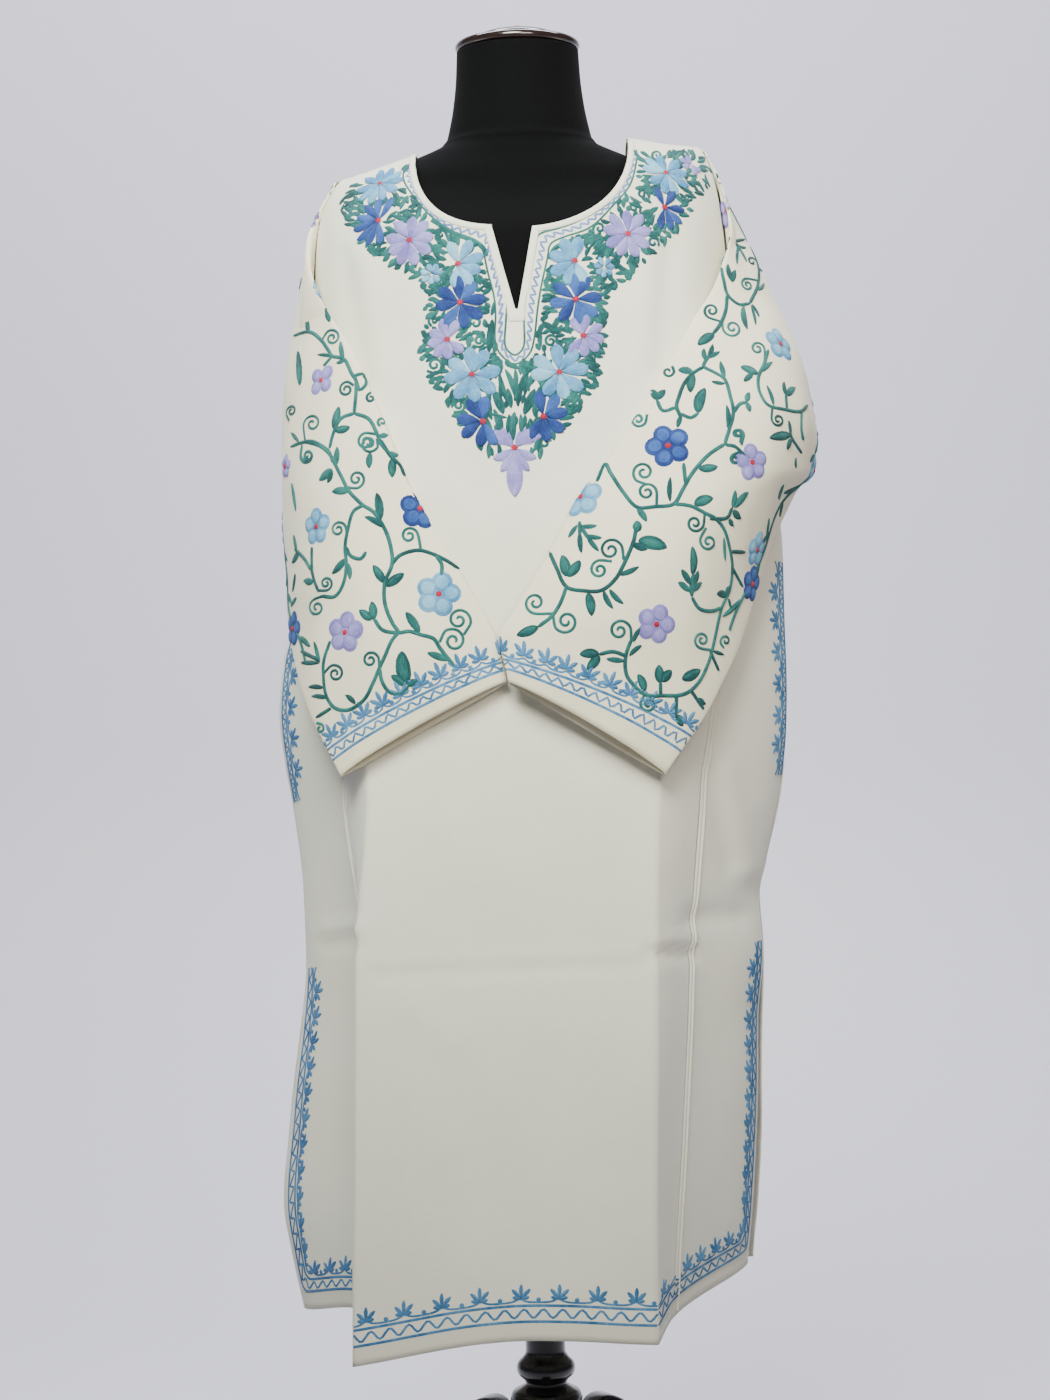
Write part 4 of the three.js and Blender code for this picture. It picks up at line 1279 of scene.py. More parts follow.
def yoke_leaves():
    """Closely packed leaves that grow outwards between the yoke's flowers, row over row."""
    kept = [(x, z, abs(size) * 0.85) for _, _, x, z, size in CURLS["front_panel"]]
    for x0, z0, x1, z1, width in LEAVES["front_panel"]:
        kept += [(lerp(x0, x1, t), lerp(z0, z1, t), width * 0.4) for t in even(3)]

    def free(x, z):
        for row in DAISIES:
            away = math.hypot(x - row[0], z - row[1])
            if away < petal_reach(row, math.atan2(z - row[1], x - row[0])) * 0.5:
                return False
        low = math.hypot(x - YOKE_MIDDLE_X, z - LOWEST_FLOWER_Z) < LOWEST_FLOWER_CLEARANCE
        if low or not inside(YOKE_OUTLINE, x, z):
            return False
        return all((x - a) ** 2 + (z - b) ** 2 > (c + 1.2) ** 2 for a, b, c in kept)

    for j in range(LEAF_ROWS):
        for i in range(LEAF_ROWS):
            x = -184 + (i + j % 2 / 2) * LEAF_SPACING + RANDOM.uniform(-1.7, 1.7)
            z = 1136 + j * LEAF_SPACING * 0.87 + RANDOM.uniform(-1.7, 1.7)
            row = min(DAISIES, key=lambda one: math.hypot(x - one[0], z - one[1]) - one[2])
            way = math.atan2(z - row[1], x - row[0]) + RANDOM.uniform(-0.8, 0.8)
            length = RANDOM.uniform(9, 14)
            width = RANDOM.uniform(4.8, 6.2)
            if abs(x - YOKE_MIDDLE_X) < 34 and z < 1245:
                way = math.pi / 2 + (x - YOKE_MIDDLE_X) * -0.012 + RANDOM.uniform(-0.3, 0.3)
                length *= 1.3
            end_x, end_z = x + math.cos(way) * length, z + math.sin(way) * length
            if not free(x, z):
                continue
            if not free(end_x, end_z):
                end_x, end_z = lerp(x, end_x, 0.65), lerp(z, end_z, 0.65)
            if inside(YOKE_OUTLINE, end_x, end_z):
                ends = on_cloth("front_panel", x, z), on_cloth("front_panel", end_x, end_z)
                yarn = RANDOM.choice(("teal", "teal", "deep teal"))
                drop("front_panel", yarn, *ends, width, 1.1, 1.0, RANDOM.uniform(-0.15, 0.15), 6)


# ---------------------------------------------------------------- borders

def spaced(points, count):
    """count + 1 points at even distances along a line."""
    lengths = [0]
    for a, b in zip(points, points[1:]):
        lengths.append(lengths[-1] + (b - a).length)
    result = []
    for target in even(count, 0, lengths[-1]):
        i = clamp(bisect.bisect_right(lengths, target) - 1, 0, len(points) - 2)
        span = max(lengths[i + 1] - lengths[i], 1e-9)
        result.append(points[i].lerp(points[i + 1], (target - lengths[i]) / span))
    return result


def length_of(points):
    return sum((b - a).length for a, b in zip(points, points[1:]))


def fan(ground, yarn, foot, right, up, size):
    """A little bud of five petals on the border's scroll."""
    for degrees, share in ((90, 1), (45, 0.92), (135, 0.92), (8, 0.6), (172, 0.6)):
        angle = math.radians(degrees)
        way = right * math.cos(angle) + up * math.sin(angle)
        end = foot + way * (size * share * MM)
        drop(ground, yarn, foot + way * (0.3 * MM), end, size * 0.34, 1.25, 0.9, 0, 5)


def waving(first, second, waves, swing):
    """A wave between two lines of as many points; the swing is a share of the way across."""
    steps = len(first) - 1
    shares = (0.5 + swing * math.sin(2 * math.pi * waves * i / steps) for i in range(steps + 1))
    return [a.lerp(b, share) for a, b, share in zip(first, second, shares)]


def edging(
    ground, inset, plain, gap, pitch, fan_pitch, fan_size, yarns=("border", "border"), wave=0.27,
):
    """Two lines with a wave between them, and a scroll of fans and dots. inset(distance) gives the
    line of points, in metres, at that distance in from the cloth's edge."""
    tree = GROUNDS[ground]

    def snapped(points):
        return [tree.find_nearest(p)[0] for p in points]

    length = length_of(inset(plain)) / MM
    steps = max(8, round(length / 2.6))
    outer = spaced(inset(plain), steps)
    inner = spaced(inset(plain + gap), steps)
    line(ground, yarns[0], snapped(outer), 2.9, 1.0)
    line(ground, yarns[0], snapped(inner), 2.9, 1.0)
    waves = max(1, round(length / pitch))
    middle = waving(outer, inner, waves, wave)
    line(ground, yarns[1], snapped(middle), 2.6, 0.9)
    fans = max(1, round(length / fan_pitch))
    high = spaced(inset(plain + gap + fan_size), steps)
    foot = 0.62 * fan_size
    scroll = []
    for i, (a, b) in enumerate(zip(inner, high)):
        near = abs(math.cos(math.pi * fans * i / steps + math.pi / 2))
        scroll.append(a.lerp(b, (0.28 + 0.34 * (1 - near) ** 2)))
    line(ground, yarns[0], snapped(scroll), 2.3, 0.9)
    for k in range(2 * fans + 1):
        i = round(k * steps / (2 * fans))
        if k % 2:
            dot = snapped([scroll[i].lerp(high[i], 0.3)])[0]
            patch(ground, yarns[0], dot, oval(2.4, 2.4), 0.9, 2, 8)
        elif 0 < k < 2 * fans:
            up = (high[i] - inner[i]).normalized()
            along = (inner[min(i + 1, steps)] - inner[max(i - 1, 0)]).normalized()
            place = snapped([inner[i] + up * (foot * MM)])[0]
            fan(ground, yarns[0], place, along, up, fan_size * 1.2)


# How far in from the edge a border starts, in millimetres, its gap, and its repeats
HEM_PLAIN = 17
HEM_BORDER = dict(plain=HEM_PLAIN, gap=14, pitch=17, fan_pitch=34.5, fan_size=10.5)
SLIT_BORDER = dict(plain=HEM_PLAIN, gap=11, pitch=15, fan_pitch=26, fan_size=11.5)
POCKET_BORDER = dict(gap=9, pitch=8.5, fan_pitch=27, fan_size=11.5, wave=0.4)
CUFF_BORDER = dict(plain=15, gap=10, pitch=11, fan_pitch=18.5, fan_size=11.5)
POCKET_SLITS = {
    "left": dict(low=872, high=1040, plain=9),
    "right": dict(low=874, high=1078, plain=4),
}
SLIT_PLAIN = {"left": 12, "right": 10}
SLIT_TOP_ROW = 0.39


def hem_inset(surface, line_heights, first, last):
    """Lines along a panel's hem, from one seam to the other."""
    def inset(distance):
        row = distance / (line_heights[1] - line_heights[0])
        return [in_metres(surface(u, row)) for u in even(60, first, last)]
    return inset


def gore_inset(surface, side_u, seam_u, heights, slit_plain):
    """Lines down a gore's slit and round its corner along the hem to the seam."""
    def inset(distance):
        width = (surface(side_u, 0.05) - surface(seam_u, 0.05)).length
        rise = heights[1] - heights[0]
        a = (distance - HEM_PLAIN + slit_plain) / width
        b = distance / rise
        corner = 9
        along = even(50, SLIT_TOP_ROW, b + corner / rise)
        points = [surface(lerp(side_u, seam_u, a), row) for row in along]
        for angle in even(6, 0, math.pi / 2)[1:-1]:
            across = a + (1 - math.cos(angle)) * corner / width
            up = b + (1 - math.sin(angle)) * corner / rise
            points.append(surface(lerp(side_u, seam_u, across), up))
        points += [surface(lerp(side_u, seam_u, share), b) for share in even(14, a + corner / width, 1)]
        return [in_metres(p) for p in points]
    return inset


def cuff_inset(side):
    """Rings round a sleeve, a distance up from its open end."""
    length = 62

    def inset(distance):
        v = 1 - 0.1 * distance / length
        turns = even(90, 0.5, -0.5) if side == "left" else even(90, -0.5, 0.5)
        return [in_metres(sleeve_surface(side, turn, v)) for turn in turns]
    return inset


def pocket_inset(surface, side_u, seam_u, heights, low, high):
    """Lines beside the pocket's mouth, which draw in at both ends."""
    def inset(distance):
        points = []
        for z in even(60, high, low):
            row = (z - heights[0]) / (heights[1] - heights[0])
            width = (surface(side_u, row) - surface(seam_u, row)).length
            points.append(in_metres(surface(lerp(side_u, seam_u, distance / width), row)))
        return points
    return inset


def neck_inset(lines, ground):
    """Lines round the neck: the first and the last follow these (x, z) places."""
    near, far = (smooth_path(ground, points, 2) for points in lines)

    def inset(distance):
        steps = 160
        return [a.lerp(b, distance) for a, b in zip(spaced(near, steps), spaced(far, steps))]
    return inset


# How far out from the neck's edge, in which yarn and how wide
BACK_NECK_LINES = ((6.5, "neck green", 1.7), (18.5, "neck green", 2.3), (12.5, "neck blue", 1.5))


def neck_stitching():
    ground = "front_panel"
    tree = GROUNDS[ground]
    inset = neck_inset((INNER_NECK_LINE, OUTER_NECK_LINE), ground)
    steps = 300
    inner, outer = spaced(inset(0), steps), spaced(inset(1), steps)
    line(ground, "neck green", [tree.find_nearest(p)[0] for p in inner], 2.5)
    line(ground, "neck green", [tree.find_nearest(p)[0] for p in outer], 2.3, rows=2)
    waves = round(length_of(inner) / MM / 8.3)
    middle = waving(inner, outer, waves, 0.2)
    line(ground, "neck blue", [tree.find_nearest(p)[0] for p in middle], 2.6)
    for points in (
        [(-78, 1380), (-60, 1367), (-42, 1359), (-33, 1352), (-30, 1344)],
        [(26, 1340), (31, 1350), (44, 1356), (64, 1363)],
    ):
        strip(ground, "teal", smooth_path(ground, points), [5] * len(smooth_path(ground, points)), 1.0)
    ground = "back_panel"
    tree = GROUNDS[ground]
    for grow, yarn, width in BACK_NECK_LINES:
        path = rounded([Vector((p.x, 300, p.y)) for p in back_neck_outline(grow)], 2)
        spine = []
        for i, p in enumerate(path):
            swing = 2.2 * math.sin(i * 2 * math.pi / 4.2) if yarn == "neck blue" else 0
            start = in_metres(Vector((p.x, 400, p.z + swing)))
            hit = tree.ray_cast(start, Vector((0, -1, 0)))[0]
            if hit:
                spine.append(hit)
        line(ground, yarn, spine, width)


HALVES = (("front", front_surface, FRONT_LINES), ("back", back_surface, BACK_LINES))


def sew_borders():
    for half, surface, lines in HALVES:
        inset = hem_inset(surface, lines["middle"][:2], 2, 6)
        edging(f"{half}_panel", inset, **HEM_BORDER)
    for side in ("left", "right"):
        yarns = ("slit border",) * 2 if side == "left" else ("border",) * 2
        slit = POCKET_SLITS[side]
        for half, surface, lines in HALVES:
            at_start = (side == "left") == (half == "front")
            side_u, seam_u = (1, 2) if at_start else (7, 6)
            heights = lines["edge" + side.capitalize()][:2]
            ground = f"{half}_gore_{side}"
            inset = gore_inset(surface, side_u, seam_u, heights, SLIT_PLAIN[side])
            edging(ground, inset, yarns=yarns, **SLIT_BORDER)
            inset = pocket_inset(surface, side_u, seam_u, heights, slit["low"], slit["high"])
            edging(ground, inset, slit["plain"], yarns=yarns, **POCKET_BORDER)
        edging(f"sleeve_{side}", cuff_inset(side), **CUFF_BORDER)


def sew_welts():
    """Felled seams: a soft ridge beside each gore's seam."""
    for side in ("left", "right"):
        for half, surface, _ in HALVES:
            at_start = (side == "left") == (half == "front")
            seam_u = 2 - 0.06 if at_start else 6 + 0.06
            ground = f"{half}_gore_{side}"
            tree = GROUNDS[ground]
            seam = [in_metres(surface(seam_u, row)) for row in even(150, 0.004, 0.985)]
            spine = [tree.find_nearest(point)[0] for point in seam]
            strip(ground, "welt", spine, [3.4] * len(spine), 1.3, rows=2, across=6, sunk=0.3)


def on_sleeve(side, around, v):
    return GROUNDS[f"sleeve_{side}"].find_nearest(in_metres(sleeve_surface(side, around, v)))[0]


# Place round the sleeve, where along it the scroll ends, and its flowers
HIDDEN_VINES = ((-0.245, 0.84, ("lavender", "sky", "navy")), (-0.4, 0.45, ("sky", "navy")))


def hidden_vines(side):
    """A plain scroll with leaves and flowers on the part of a sleeve that faces sideways and back."""
    ground = f"sleeve_{side}"
    for middle, last, tones in HIDDEN_VINES:
        def winding(v, away=0.0):
            return on_sleeve(side, middle + 0.013 * math.sin(v * 40) + away, v)

        path = [winding(v) for v in even(110, 0.08, last)]
        strip(ground, "teal", path, [4.0] * len(path), 1.2, rows=3, across=4)
        for k, v in enumerate(even(round(18 * last), 0.1, last - 0.04)):
            way = 1 if k % 2 else -1
            leaf(ground, winding(v, way * 0.003), winding(v + 0.025, way * 0.03), 5)
        for k, v in enumerate(even(len(tones), 0.14, last - 0.06)[1:]):
            flower_at(ground, winding(v, -0.01), 16, tones[k], 5, 40 * k)


def embroider():
    for ground, rows in VINES.items():
        for points in rows:
            vine(ground, points)
    for ground, rows in CURLS.items():
        for row in rows:
            curl(ground, *row)
    for ground, rows in LEAVES.items():
        for x0, z0, x1, z1, width in rows:
            ends = on_cloth(ground, x0, z0), on_cloth(ground, x1, z1)
            if all(ends) and (ends[1] - ends[0]).length < 45 * MM:
                leaf(ground, *ends, width)
    for ground, rows in ROUND_FLOWERS.items():
        for row in rows:
            round_flower(ground, *row)
    for side in ("left", "right"):
        hidden_vines(side)
    yoke_leaves()
    for row in DAISIES:
        daisy("front_panel", *row)
    bottom_flower()
    neck_stitching()
    sew_borders()
    sew_welts()


def finish_stitches():
    """Each yarn on each piece of cloth becomes one piece of the object."""
    made = {}
    for (ground, yarn), bm in STITCHES.items():
        bm.normal_update()
        name = f"{ground}_{yarn.replace(' ', '_')}_stitches"
        made.setdefault(ground, []).append(new_piece(name, bm, YARNS[yarn]))
    return made


# ---------------------------------------------------------------- motifs
# All are (x, z) places seen from the front, in millimetres

VINES = {
    "sleeve_left": [
        ((-195, 1358), (-190, 1356), (-189, 1353)),
        ((-190, 1355), (-194, 1350)),
        (
            (-196, 1355), (-206, 1333), (-208, 1296), (-212, 1265), (-212, 1244), (-206, 1233),
            (-195, 1243),
        ),
        (
            (-208, 1288), (-192, 1287), (-181, 1278), (-173, 1266), (-170, 1261), (-163, 1259),
            (-158, 1256), (-152, 1243), (-148, 1236), (-150, 1207),
        ),
        ((-170, 1261), (-178, 1253)),
        ((-150, 1241), (-141, 1242), (-139, 1233), (-145, 1228), (-148, 1237)),
        ((-150, 1207), (-162, 1203), (-169, 1191), (-173, 1177)),
        ((-150, 1207), (-137, 1201), (-130, 1188), (-126, 1178), (-116, 1166)),
        ((-210, 1183), (-200, 1185), (-190, 1185), (-179, 1179), (-173, 1173), (-170, 1164)),
        (
            (-197, 1186), (-182, 1180), (-173, 1172), (-168, 1162), (-162, 1150), (-156, 1138),
            (-144, 1125), (-134, 1118), (-126, 1106), (-121, 1094), (-118, 1078), (-119, 1069),
            (-125, 1055), (-125, 1036), (-118, 1018), (-113, 1012),
        ),
        (
            (-142, 1125), (-152, 1119), (-157, 1104), (-160, 1088), (-159, 1072), (-162, 1056),
            (-170, 1045), (-183, 1046),
        ),
        ((-159, 1088), (-155, 1080), (-146, 1077), (-141, 1083)),
        ((-191, 1090), (-191, 1070), (-189, 1060), (-185, 1050)),
        ((-208, 1090), (-199, 1081), (-192, 1070)),
        ((-119, 1071), (-111, 1079), (-96, 1083), (-84, 1080), (-70, 1073), (-60, 1066)),
        ((-127, 1182), (-118, 1167), (-110, 1159), (-106, 1149)),
        ((-80, 1078), (-75, 1070), (-76, 1056)),
        (
            (-113, 1012), (-120, 1004), (-126, 991), (-131, 981), (-137, 968), (-145, 954),
            (-159, 945), (-172, 947), (-180, 959), (-182, 979), (-181, 990), (-175, 1006),
        ),
        (
            (-135, 1024), (-128, 1014), (-114, 1011), (-104, 1012), (-95, 1009), (-83, 1005),
            (-78, 997), (-66, 981),
        ),
        ((-131, 981), (-129, 969), (-123, 960), (-113, 958), (-106, 964)),
        ((-203, 998), (-185, 989)),
        ((-175, 947), (-189, 939)),
    ],
    "sleeve_right": [
        ((187, 1418), (190, 1406)),
        ((189, 1412), (197, 1397), (205, 1380), (213, 1363), (218, 1341), (215, 1321), (206, 1303)),
        ((184, 1346), (181, 1337), (183, 1321), (186, 1309), (196, 1301), (206, 1303)),
        ((192, 1376), (196, 1362), (200, 1355)),
        ((185, 1309), (183, 1295), (177, 1281), (170, 1272)),
        (
            (166, 1252), (161, 1245), (160, 1241), (170, 1235), (178, 1229), (182, 1213),
            (184, 1198), (179, 1181), (176, 1170), (184, 1168), (193, 1160),
        ),
        ((160, 1241), (150, 1235), (142, 1226), (136, 1212), (134, 1204), (137, 1195), (135, 1187)),
        ((117, 1211), (122, 1201), (134, 1204)),
        ((137, 1198), (146, 1194), (153, 1198)),
        (
            (220, 1258), (215, 1244), (209, 1232), (209, 1218), (216, 1206), (232, 1203),
            (248, 1203), (256, 1210),
        ),
        ((234, 1217), (234, 1204)),
        ((249, 1204), (248, 1186), (250, 1179)),
        ((236, 1185), (238, 1178), (248, 1166)),
        ((184, 1198), (190, 1206), (196, 1208)),
        (
            (175, 1170), (160, 1160), (146, 1145), (136, 1129), (128, 1117), (112, 1115), (96, 1115),
            (85, 1128), (74, 1147), (70, 1155), (62, 1139),
        ),
        ((138, 1153), (139, 1135)),
        (
            (128, 1117), (143, 1115), (155, 1109), (165, 1104), (173, 1094), (178, 1077),
            (180, 1062), (177, 1042), (170, 1028), (166, 1014), (162, 997), (158, 983), (150, 966),
            (140, 955), (130, 951), (116, 951), (100, 952), (89, 961), (83, 971), (83, 986),
            (88, 1000),
        ),
        ((46, 1104), (46, 1092)),
        ((46, 1102), (53, 1089)),
        ((159, 1104), (175, 1105), (180, 1114)),
        ((179, 1076), (192, 1076)),
        ((180, 1062), (190, 1046)),
        ((142, 1036), (149, 1026), (160, 1024), (169, 1027)),
        (
            (95, 1098), (92, 1085), (83, 1065), (75, 1052), (63, 1043), (48, 1043), (33, 1047),
            (25, 1064), (19, 1079),
        ),
        ((33, 1047), (28, 1034), (20, 1022), (8, 1013)),
        ((83, 986), (72, 990), (60, 988)),
        ((113, 963), (113, 951)),
        ((127, 951), (126, 932)),
        ((140, 955), (150, 940)),
        ((158, 990), (166, 972)),
    ],
}
LEAVES = {
    "sleeve_left": [
        (-168, 1434, -174, 1421, 5.7), (-167, 1435, -170, 1430, 5.3), (-193, 1376, -196, 1363, 5.0),
        (-203, 1347, -205, 1336, 5.0),
        (-192, 1287, -200, 1306, 7.5), (-170, 1261, -184, 1264, 3.2), (-159, 1257, -162, 1274, 4.6),
        (-158, 1256, -166, 1254, 3.9),
        (-201, 1238, -204, 1271, 9.8), (-169, 1194, -164, 1214, 7.8), (-168, 1193, -154, 1195, 7.1),
        (-128, 1186, -120, 1186, 4.6),
        (-120, 1170, -112, 1169, 4.3), (-202, 1186, -210, 1196, 3.6), (-176, 1306, -172, 1293, 6.1),
        (-168, 1160, -166, 1178, 5.6),
        (-172, 1159, -183, 1149, 7.0), (-172, 1159, -175, 1146, 5.6), (-136, 1171, -137, 1157, 5.6),
        (-156, 1137, -171, 1138, 6.4),
        (-128, 1110, -131, 1135, 6.8), (-126, 1104, -142, 1114, 4.8), (-159, 1078, -172, 1065, 6.4),
        (-158, 1074, -156, 1059, 4.4),
        (-210, 1150, -206, 1124, 5.2), (-206, 1088, -209, 1103, 5.0), (-204, 1085, -211, 1078, 6.8),
        (-190, 1059, -199, 1061, 6.0),
        (-208, 1068, -211, 1052, 5.2), (-207, 1046, -213, 1039, 4.4), (-117, 1167, -112, 1168, 4.0),
        (-117, 1165, -117, 1148, 7.2),
        (-125, 1055, -135, 1071, 7.2), (-124, 1052, -108, 1063, 8.0), (-137, 1023, -148, 1032, 7.2),
        (-136, 1023, -137, 1039, 7.6),
        (-95, 1011, -107, 1029, 6.8), (-71, 986, -89, 993, 5.6), (-107, 966, -111, 995, 12.5),
        (-108, 965, -121, 974, 7.2),
        (-107, 965, -98, 970, 6.0), (-185, 987, -190, 1006, 4.4), (-203, 988, -185, 987, 4.0),
        (-153, 950, -162, 958, 4.4),
        (-182, 965, -196, 966, 4.0), (-178, 956, -193, 958, 4.0),
    ],
    "sleeve_right": [
        (196, 1364, 207, 1369, 3.0), (196, 1362, 207, 1360, 3.8), (199, 1360, 196, 1340, 4.2),
        (200, 1358, 206, 1344, 3.8),
        (191, 1366, 188, 1354, 3.4), (190, 1323, 187, 1339, 5.3), (190, 1322, 194, 1334, 5.3),
        (214, 1317, 222, 1326, 3.4),
        (218, 1341, 216, 1354, 3.0), (218, 1341, 222, 1340, 3.0), (200, 1300, 202, 1277, 5.7),
        (207, 1301, 210, 1282, 3.0),
        (208, 1302, 214, 1290, 3.0), (171, 1272, 156, 1261, 8.7), (162, 1247, 161, 1258, 4.2),
        (164, 1249, 169, 1262, 4.2),
        (164, 1249, 175, 1255, 4.2), (178, 1230, 175, 1246, 4.5), (178, 1225, 166, 1227, 3.8),
        (150, 1236, 137, 1238, 6.8),
        (150, 1235, 147, 1217, 7.6), (117, 1211, 113, 1221, 5.7), (117, 1211, 125, 1220, 6.4),
        (153, 1198, 160, 1221, 9.5),
        (213, 1237, 223, 1247, 4.2), (209, 1235, 193, 1241, 8.3), (204, 1236, 195, 1227, 4.9),
        (221, 1206, 216, 1224, 4.5),
        (234, 1216, 233, 1229, 5.3), (235, 1216, 244, 1225, 6.1), (237, 1181, 235, 1193, 4.5),
        (237, 1180, 216, 1176, 8.0),
        (238, 1177, 233, 1167, 6.1), (242, 1161, 242, 1152, 3.0), (196, 1208, 199, 1217, 4.9),
        (196, 1208, 199, 1199, 4.9),
        (178, 1184, 178, 1205, 4.2), (137, 1196, 134, 1185, 3.8), (151, 1148, 168, 1150, 7.2),
        (248, 1183, 250, 1177, 4.5),
        (125, 1119, 126, 1141, 4.0), (96, 1114, 104, 1102, 5.2), (146, 1116, 163, 1122, 8.8),
        (180, 1114, 183, 1129, 5.2),
        (182, 1114, 195, 1128, 6.4), (181, 1112, 188, 1105, 6.0), (177, 1104, 181, 1098, 4.4),
        (172, 1088, 173, 1068, 3.6),
        (214, 1091, 216, 1107, 4.4), (226, 1124, 230, 1137, 6.8), (242, 1161, 242, 1152, 2.8),
        (175, 1037, 165, 1039, 6.0),
        (175, 1038, 176, 1046, 5.2), (176, 1035, 178, 1026, 3.2), (143, 1055, 143, 1080, 7.2),
        (142, 1036, 144, 1057, 5.6),
        (141, 1047, 133, 1060, 5.2), (144, 1047, 148, 1059, 4.8), (140, 1041, 130, 1049, 5.2),
        (144, 1041, 151, 1049, 4.8),
        (46, 1095, 47, 1076, 4.4), (47, 1100, 61, 1100, 4.0), (51, 1092, 65, 1089, 4.0),
        (52, 1090, 62, 1077, 4.0),
        (44, 1101, 36, 1090, 4.0), (95, 1093, 95, 1103, 7.6), (96, 1085, 121, 1079, 11.3),
        (91, 1083, 104, 1078, 6.0),
        (78, 1056, 96, 1063, 4.4), (34, 1056, 30, 1075, 9.2), (34, 1056, 45, 1070, 9.2),
        (51, 1041, 54, 1021, 8.0),
        (65, 1043, 73, 1027, 4.4), (70, 1044, 82, 1031, 4.4), (8, 1013, -11, 1006, 8.0),
        (90, 998, 96, 1010, 4.0),
        (86, 986, 97, 995, 4.0), (60, 988, 43, 988, 8.0), (60, 987, 49, 975, 8.0),
        (82, 982, 66, 984, 4.4),
        (99, 955, 93, 970, 7.2), (113, 962, 112, 978, 8.4), (114, 963, 123, 973, 8.4),
        (132, 965, 149, 973, 9.2),
        (127, 934, 132, 924, 7.2), (146, 948, 153, 943, 5.2), (161, 989, 171, 986, 3.2),
        (150, 941, 151, 938, 2.8),
    ],
    "front_panel": [
        (-7, 1224, -7, 1242, 3.8), (-8, 1218, -16, 1242, 4.4), (-13, 1211, -21, 1240, 4.4),
        (-4, 1225, 7, 1242, 3.8),
        (-2, 1245, 12, 1241, 4.1), (-18, 1202, -27, 1224, 7.0), (-20, 1216, -19, 1233, 4.4),
        (-11, 1207, -14, 1225, 5.0),
        (-5, 1208, 0, 1231, 4.7), (0, 1201, 10, 1224, 7.0), (-10, 1178, -8, 1204, 6.4),
        (-15, 1184, -13, 1202, 4.1),
        (-2, 1182, -3, 1202, 4.1), (-22, 1182, -20, 1199, 6.7), (6, 1181, 5, 1198, 6.1),
        (-29, 1203, -15, 1199, 2.9),
        (1, 1201, -1, 1189, 3.8), (-32, 1177, -32, 1163, 4.4), (-40, 1184, -38, 1170, 5.9),
        (15, 1173, 13, 1161, 4.4),
        (-26, 1287, -30, 1256, 6.4), (-27, 1290, -24, 1303, 3.8),
    ],
}
CURLS = {
    "sleeve_left": [
        (-179, 1278, -170, 1278, -8.2), (-150, 1232, -157, 1229, 7.5), (-135, 1225, -135, 1220, 4.3),
        (-212, 1207, -210, 1216, -6.1),
        (-196, 1186, -189, 1201, -9.3), (-130, 1187, -140, 1181, 8.2),
        (-127, 1194, -125, 1198, -4.3), (-199, 1181, -194, 1173, 6.4),
        (-199, 1183, -194, 1172, 7.6), (-158, 1141, -149, 1148, 8.8), (-158, 1099, -166, 1104, 7.6),
        (-185, 1051, -178, 1057, 6.8),
        (-181, 1046, -187, 1036, 8.4), (-93, 1084, -103, 1096, 8.4), (-78, 1002, -66, 1003, -11.7),
        (-57, 1008, -61, 1021, 11.3),
        (-131, 981, -139, 988, 8.0), (-181, 978, -171, 977, -8.4), (-189, 934, -186, 929, -4.4),
        (-130, 1183, -137, 1179, -8.8),
    ],
    "sleeve_right": [
        (186, 1420, 183, 1429, 6.1), (216, 1327, 205, 1321, 6.8), (218, 1340, 212, 1346, 5.7),
        (180, 1283, 170, 1294, -8.0),
        (179, 1287, 188, 1278, 9.5), (132, 1242, 128, 1237, -5.7), (108, 1198, 100, 1194, -7.6),
        (216, 1248, 210, 1259, 7.2),
        (220, 1204, 225, 1193, 6.8), (190, 1169, 188, 1179, 5.3), (190, 1164, 184, 1156, 5.3),
        (105, 1135, 103, 1146, -10.4),
        (113, 1116, 105, 1128, 9.2), (155, 1108, 146, 1100, -8.4), (156, 1096, 158, 1084, 8.4),
        (83, 1069, 72, 1078, 10.9),
        (73, 1068, 62, 1061, 8.8), (22, 1024, 6, 1034, -10.4), (21, 1022, 32, 1017, 11.3),
        (88, 998, 78, 1008, 10.4),
        (98, 951, 102, 944, 7.6), (159, 990, 151, 999, -8.0), (171, 992, 173, 998, -5.6),
        (189, 1171, 186, 1179, 4.8),
        (189, 1164, 184, 1157, -4.8),
    ],
    "front_panel": [
        (-64, 1362, -70, 1366, 4.7), (65, 1366, 71, 1368, -5.5), (108, 1383, 103, 1388, 6.0),
        (117, 1399, 111, 1401, 5.0),
        (122, 1437, 127, 1443, -5.0), (150, 1395, 154, 1400, -4.4), (124, 1353, 119, 1356, 5.5),
        (-46, 1283, -41, 1284, -5.9),
        (-44, 1264, -38, 1268, 6.1), (-85, 1243, -78, 1248, 7.9), (-32, 1310, -33, 1314, 4.1),
        (-62, 1205, -57, 1211, 6.1),
        (31, 1262, 25, 1266, 6.4), (-80, 1283, -78, 1288, -5.0), (23, 1177, 18, 1176, 5.9),
    ],
}
ROUND_FLOWERS = {
    "sleeve_left": [
        (-186, 1393, 13.9, "lavender", 5, 60),
        (-185, 1321, 14.2, "sky", 5, 80),
        (-180, 1240, 14.2, "lavender", 4, 50),
        (-216, 1166, 10.7, "lavender", 5, 10),
        (-186, 1108, 16.5, "sky", 5, 95),
        (-93, 1120, 18.1, "navy", 5, 150),
        (-78, 1044, 19.7, "sky", 5, 75),
        (-161, 1013, 18.1, "lavender", 5, 85),
    ],
    "sleeve_right": [
        (191, 1394, 16.3, "lavender", 5, 95),
        (232, 1265, 17.0, "sky", 5, 80),
        (125, 1169, 20.1, "navy", 5, 110),
        (199, 1154, 16.7, "lavender", 5, 95),
        (48, 1126, 18.9, "sky", 5, 30),
        (204, 1079, 15.7, "sky", 5, 90),
        (110, 1013, 17.3, "lavender", 5, 70),
    ],
}
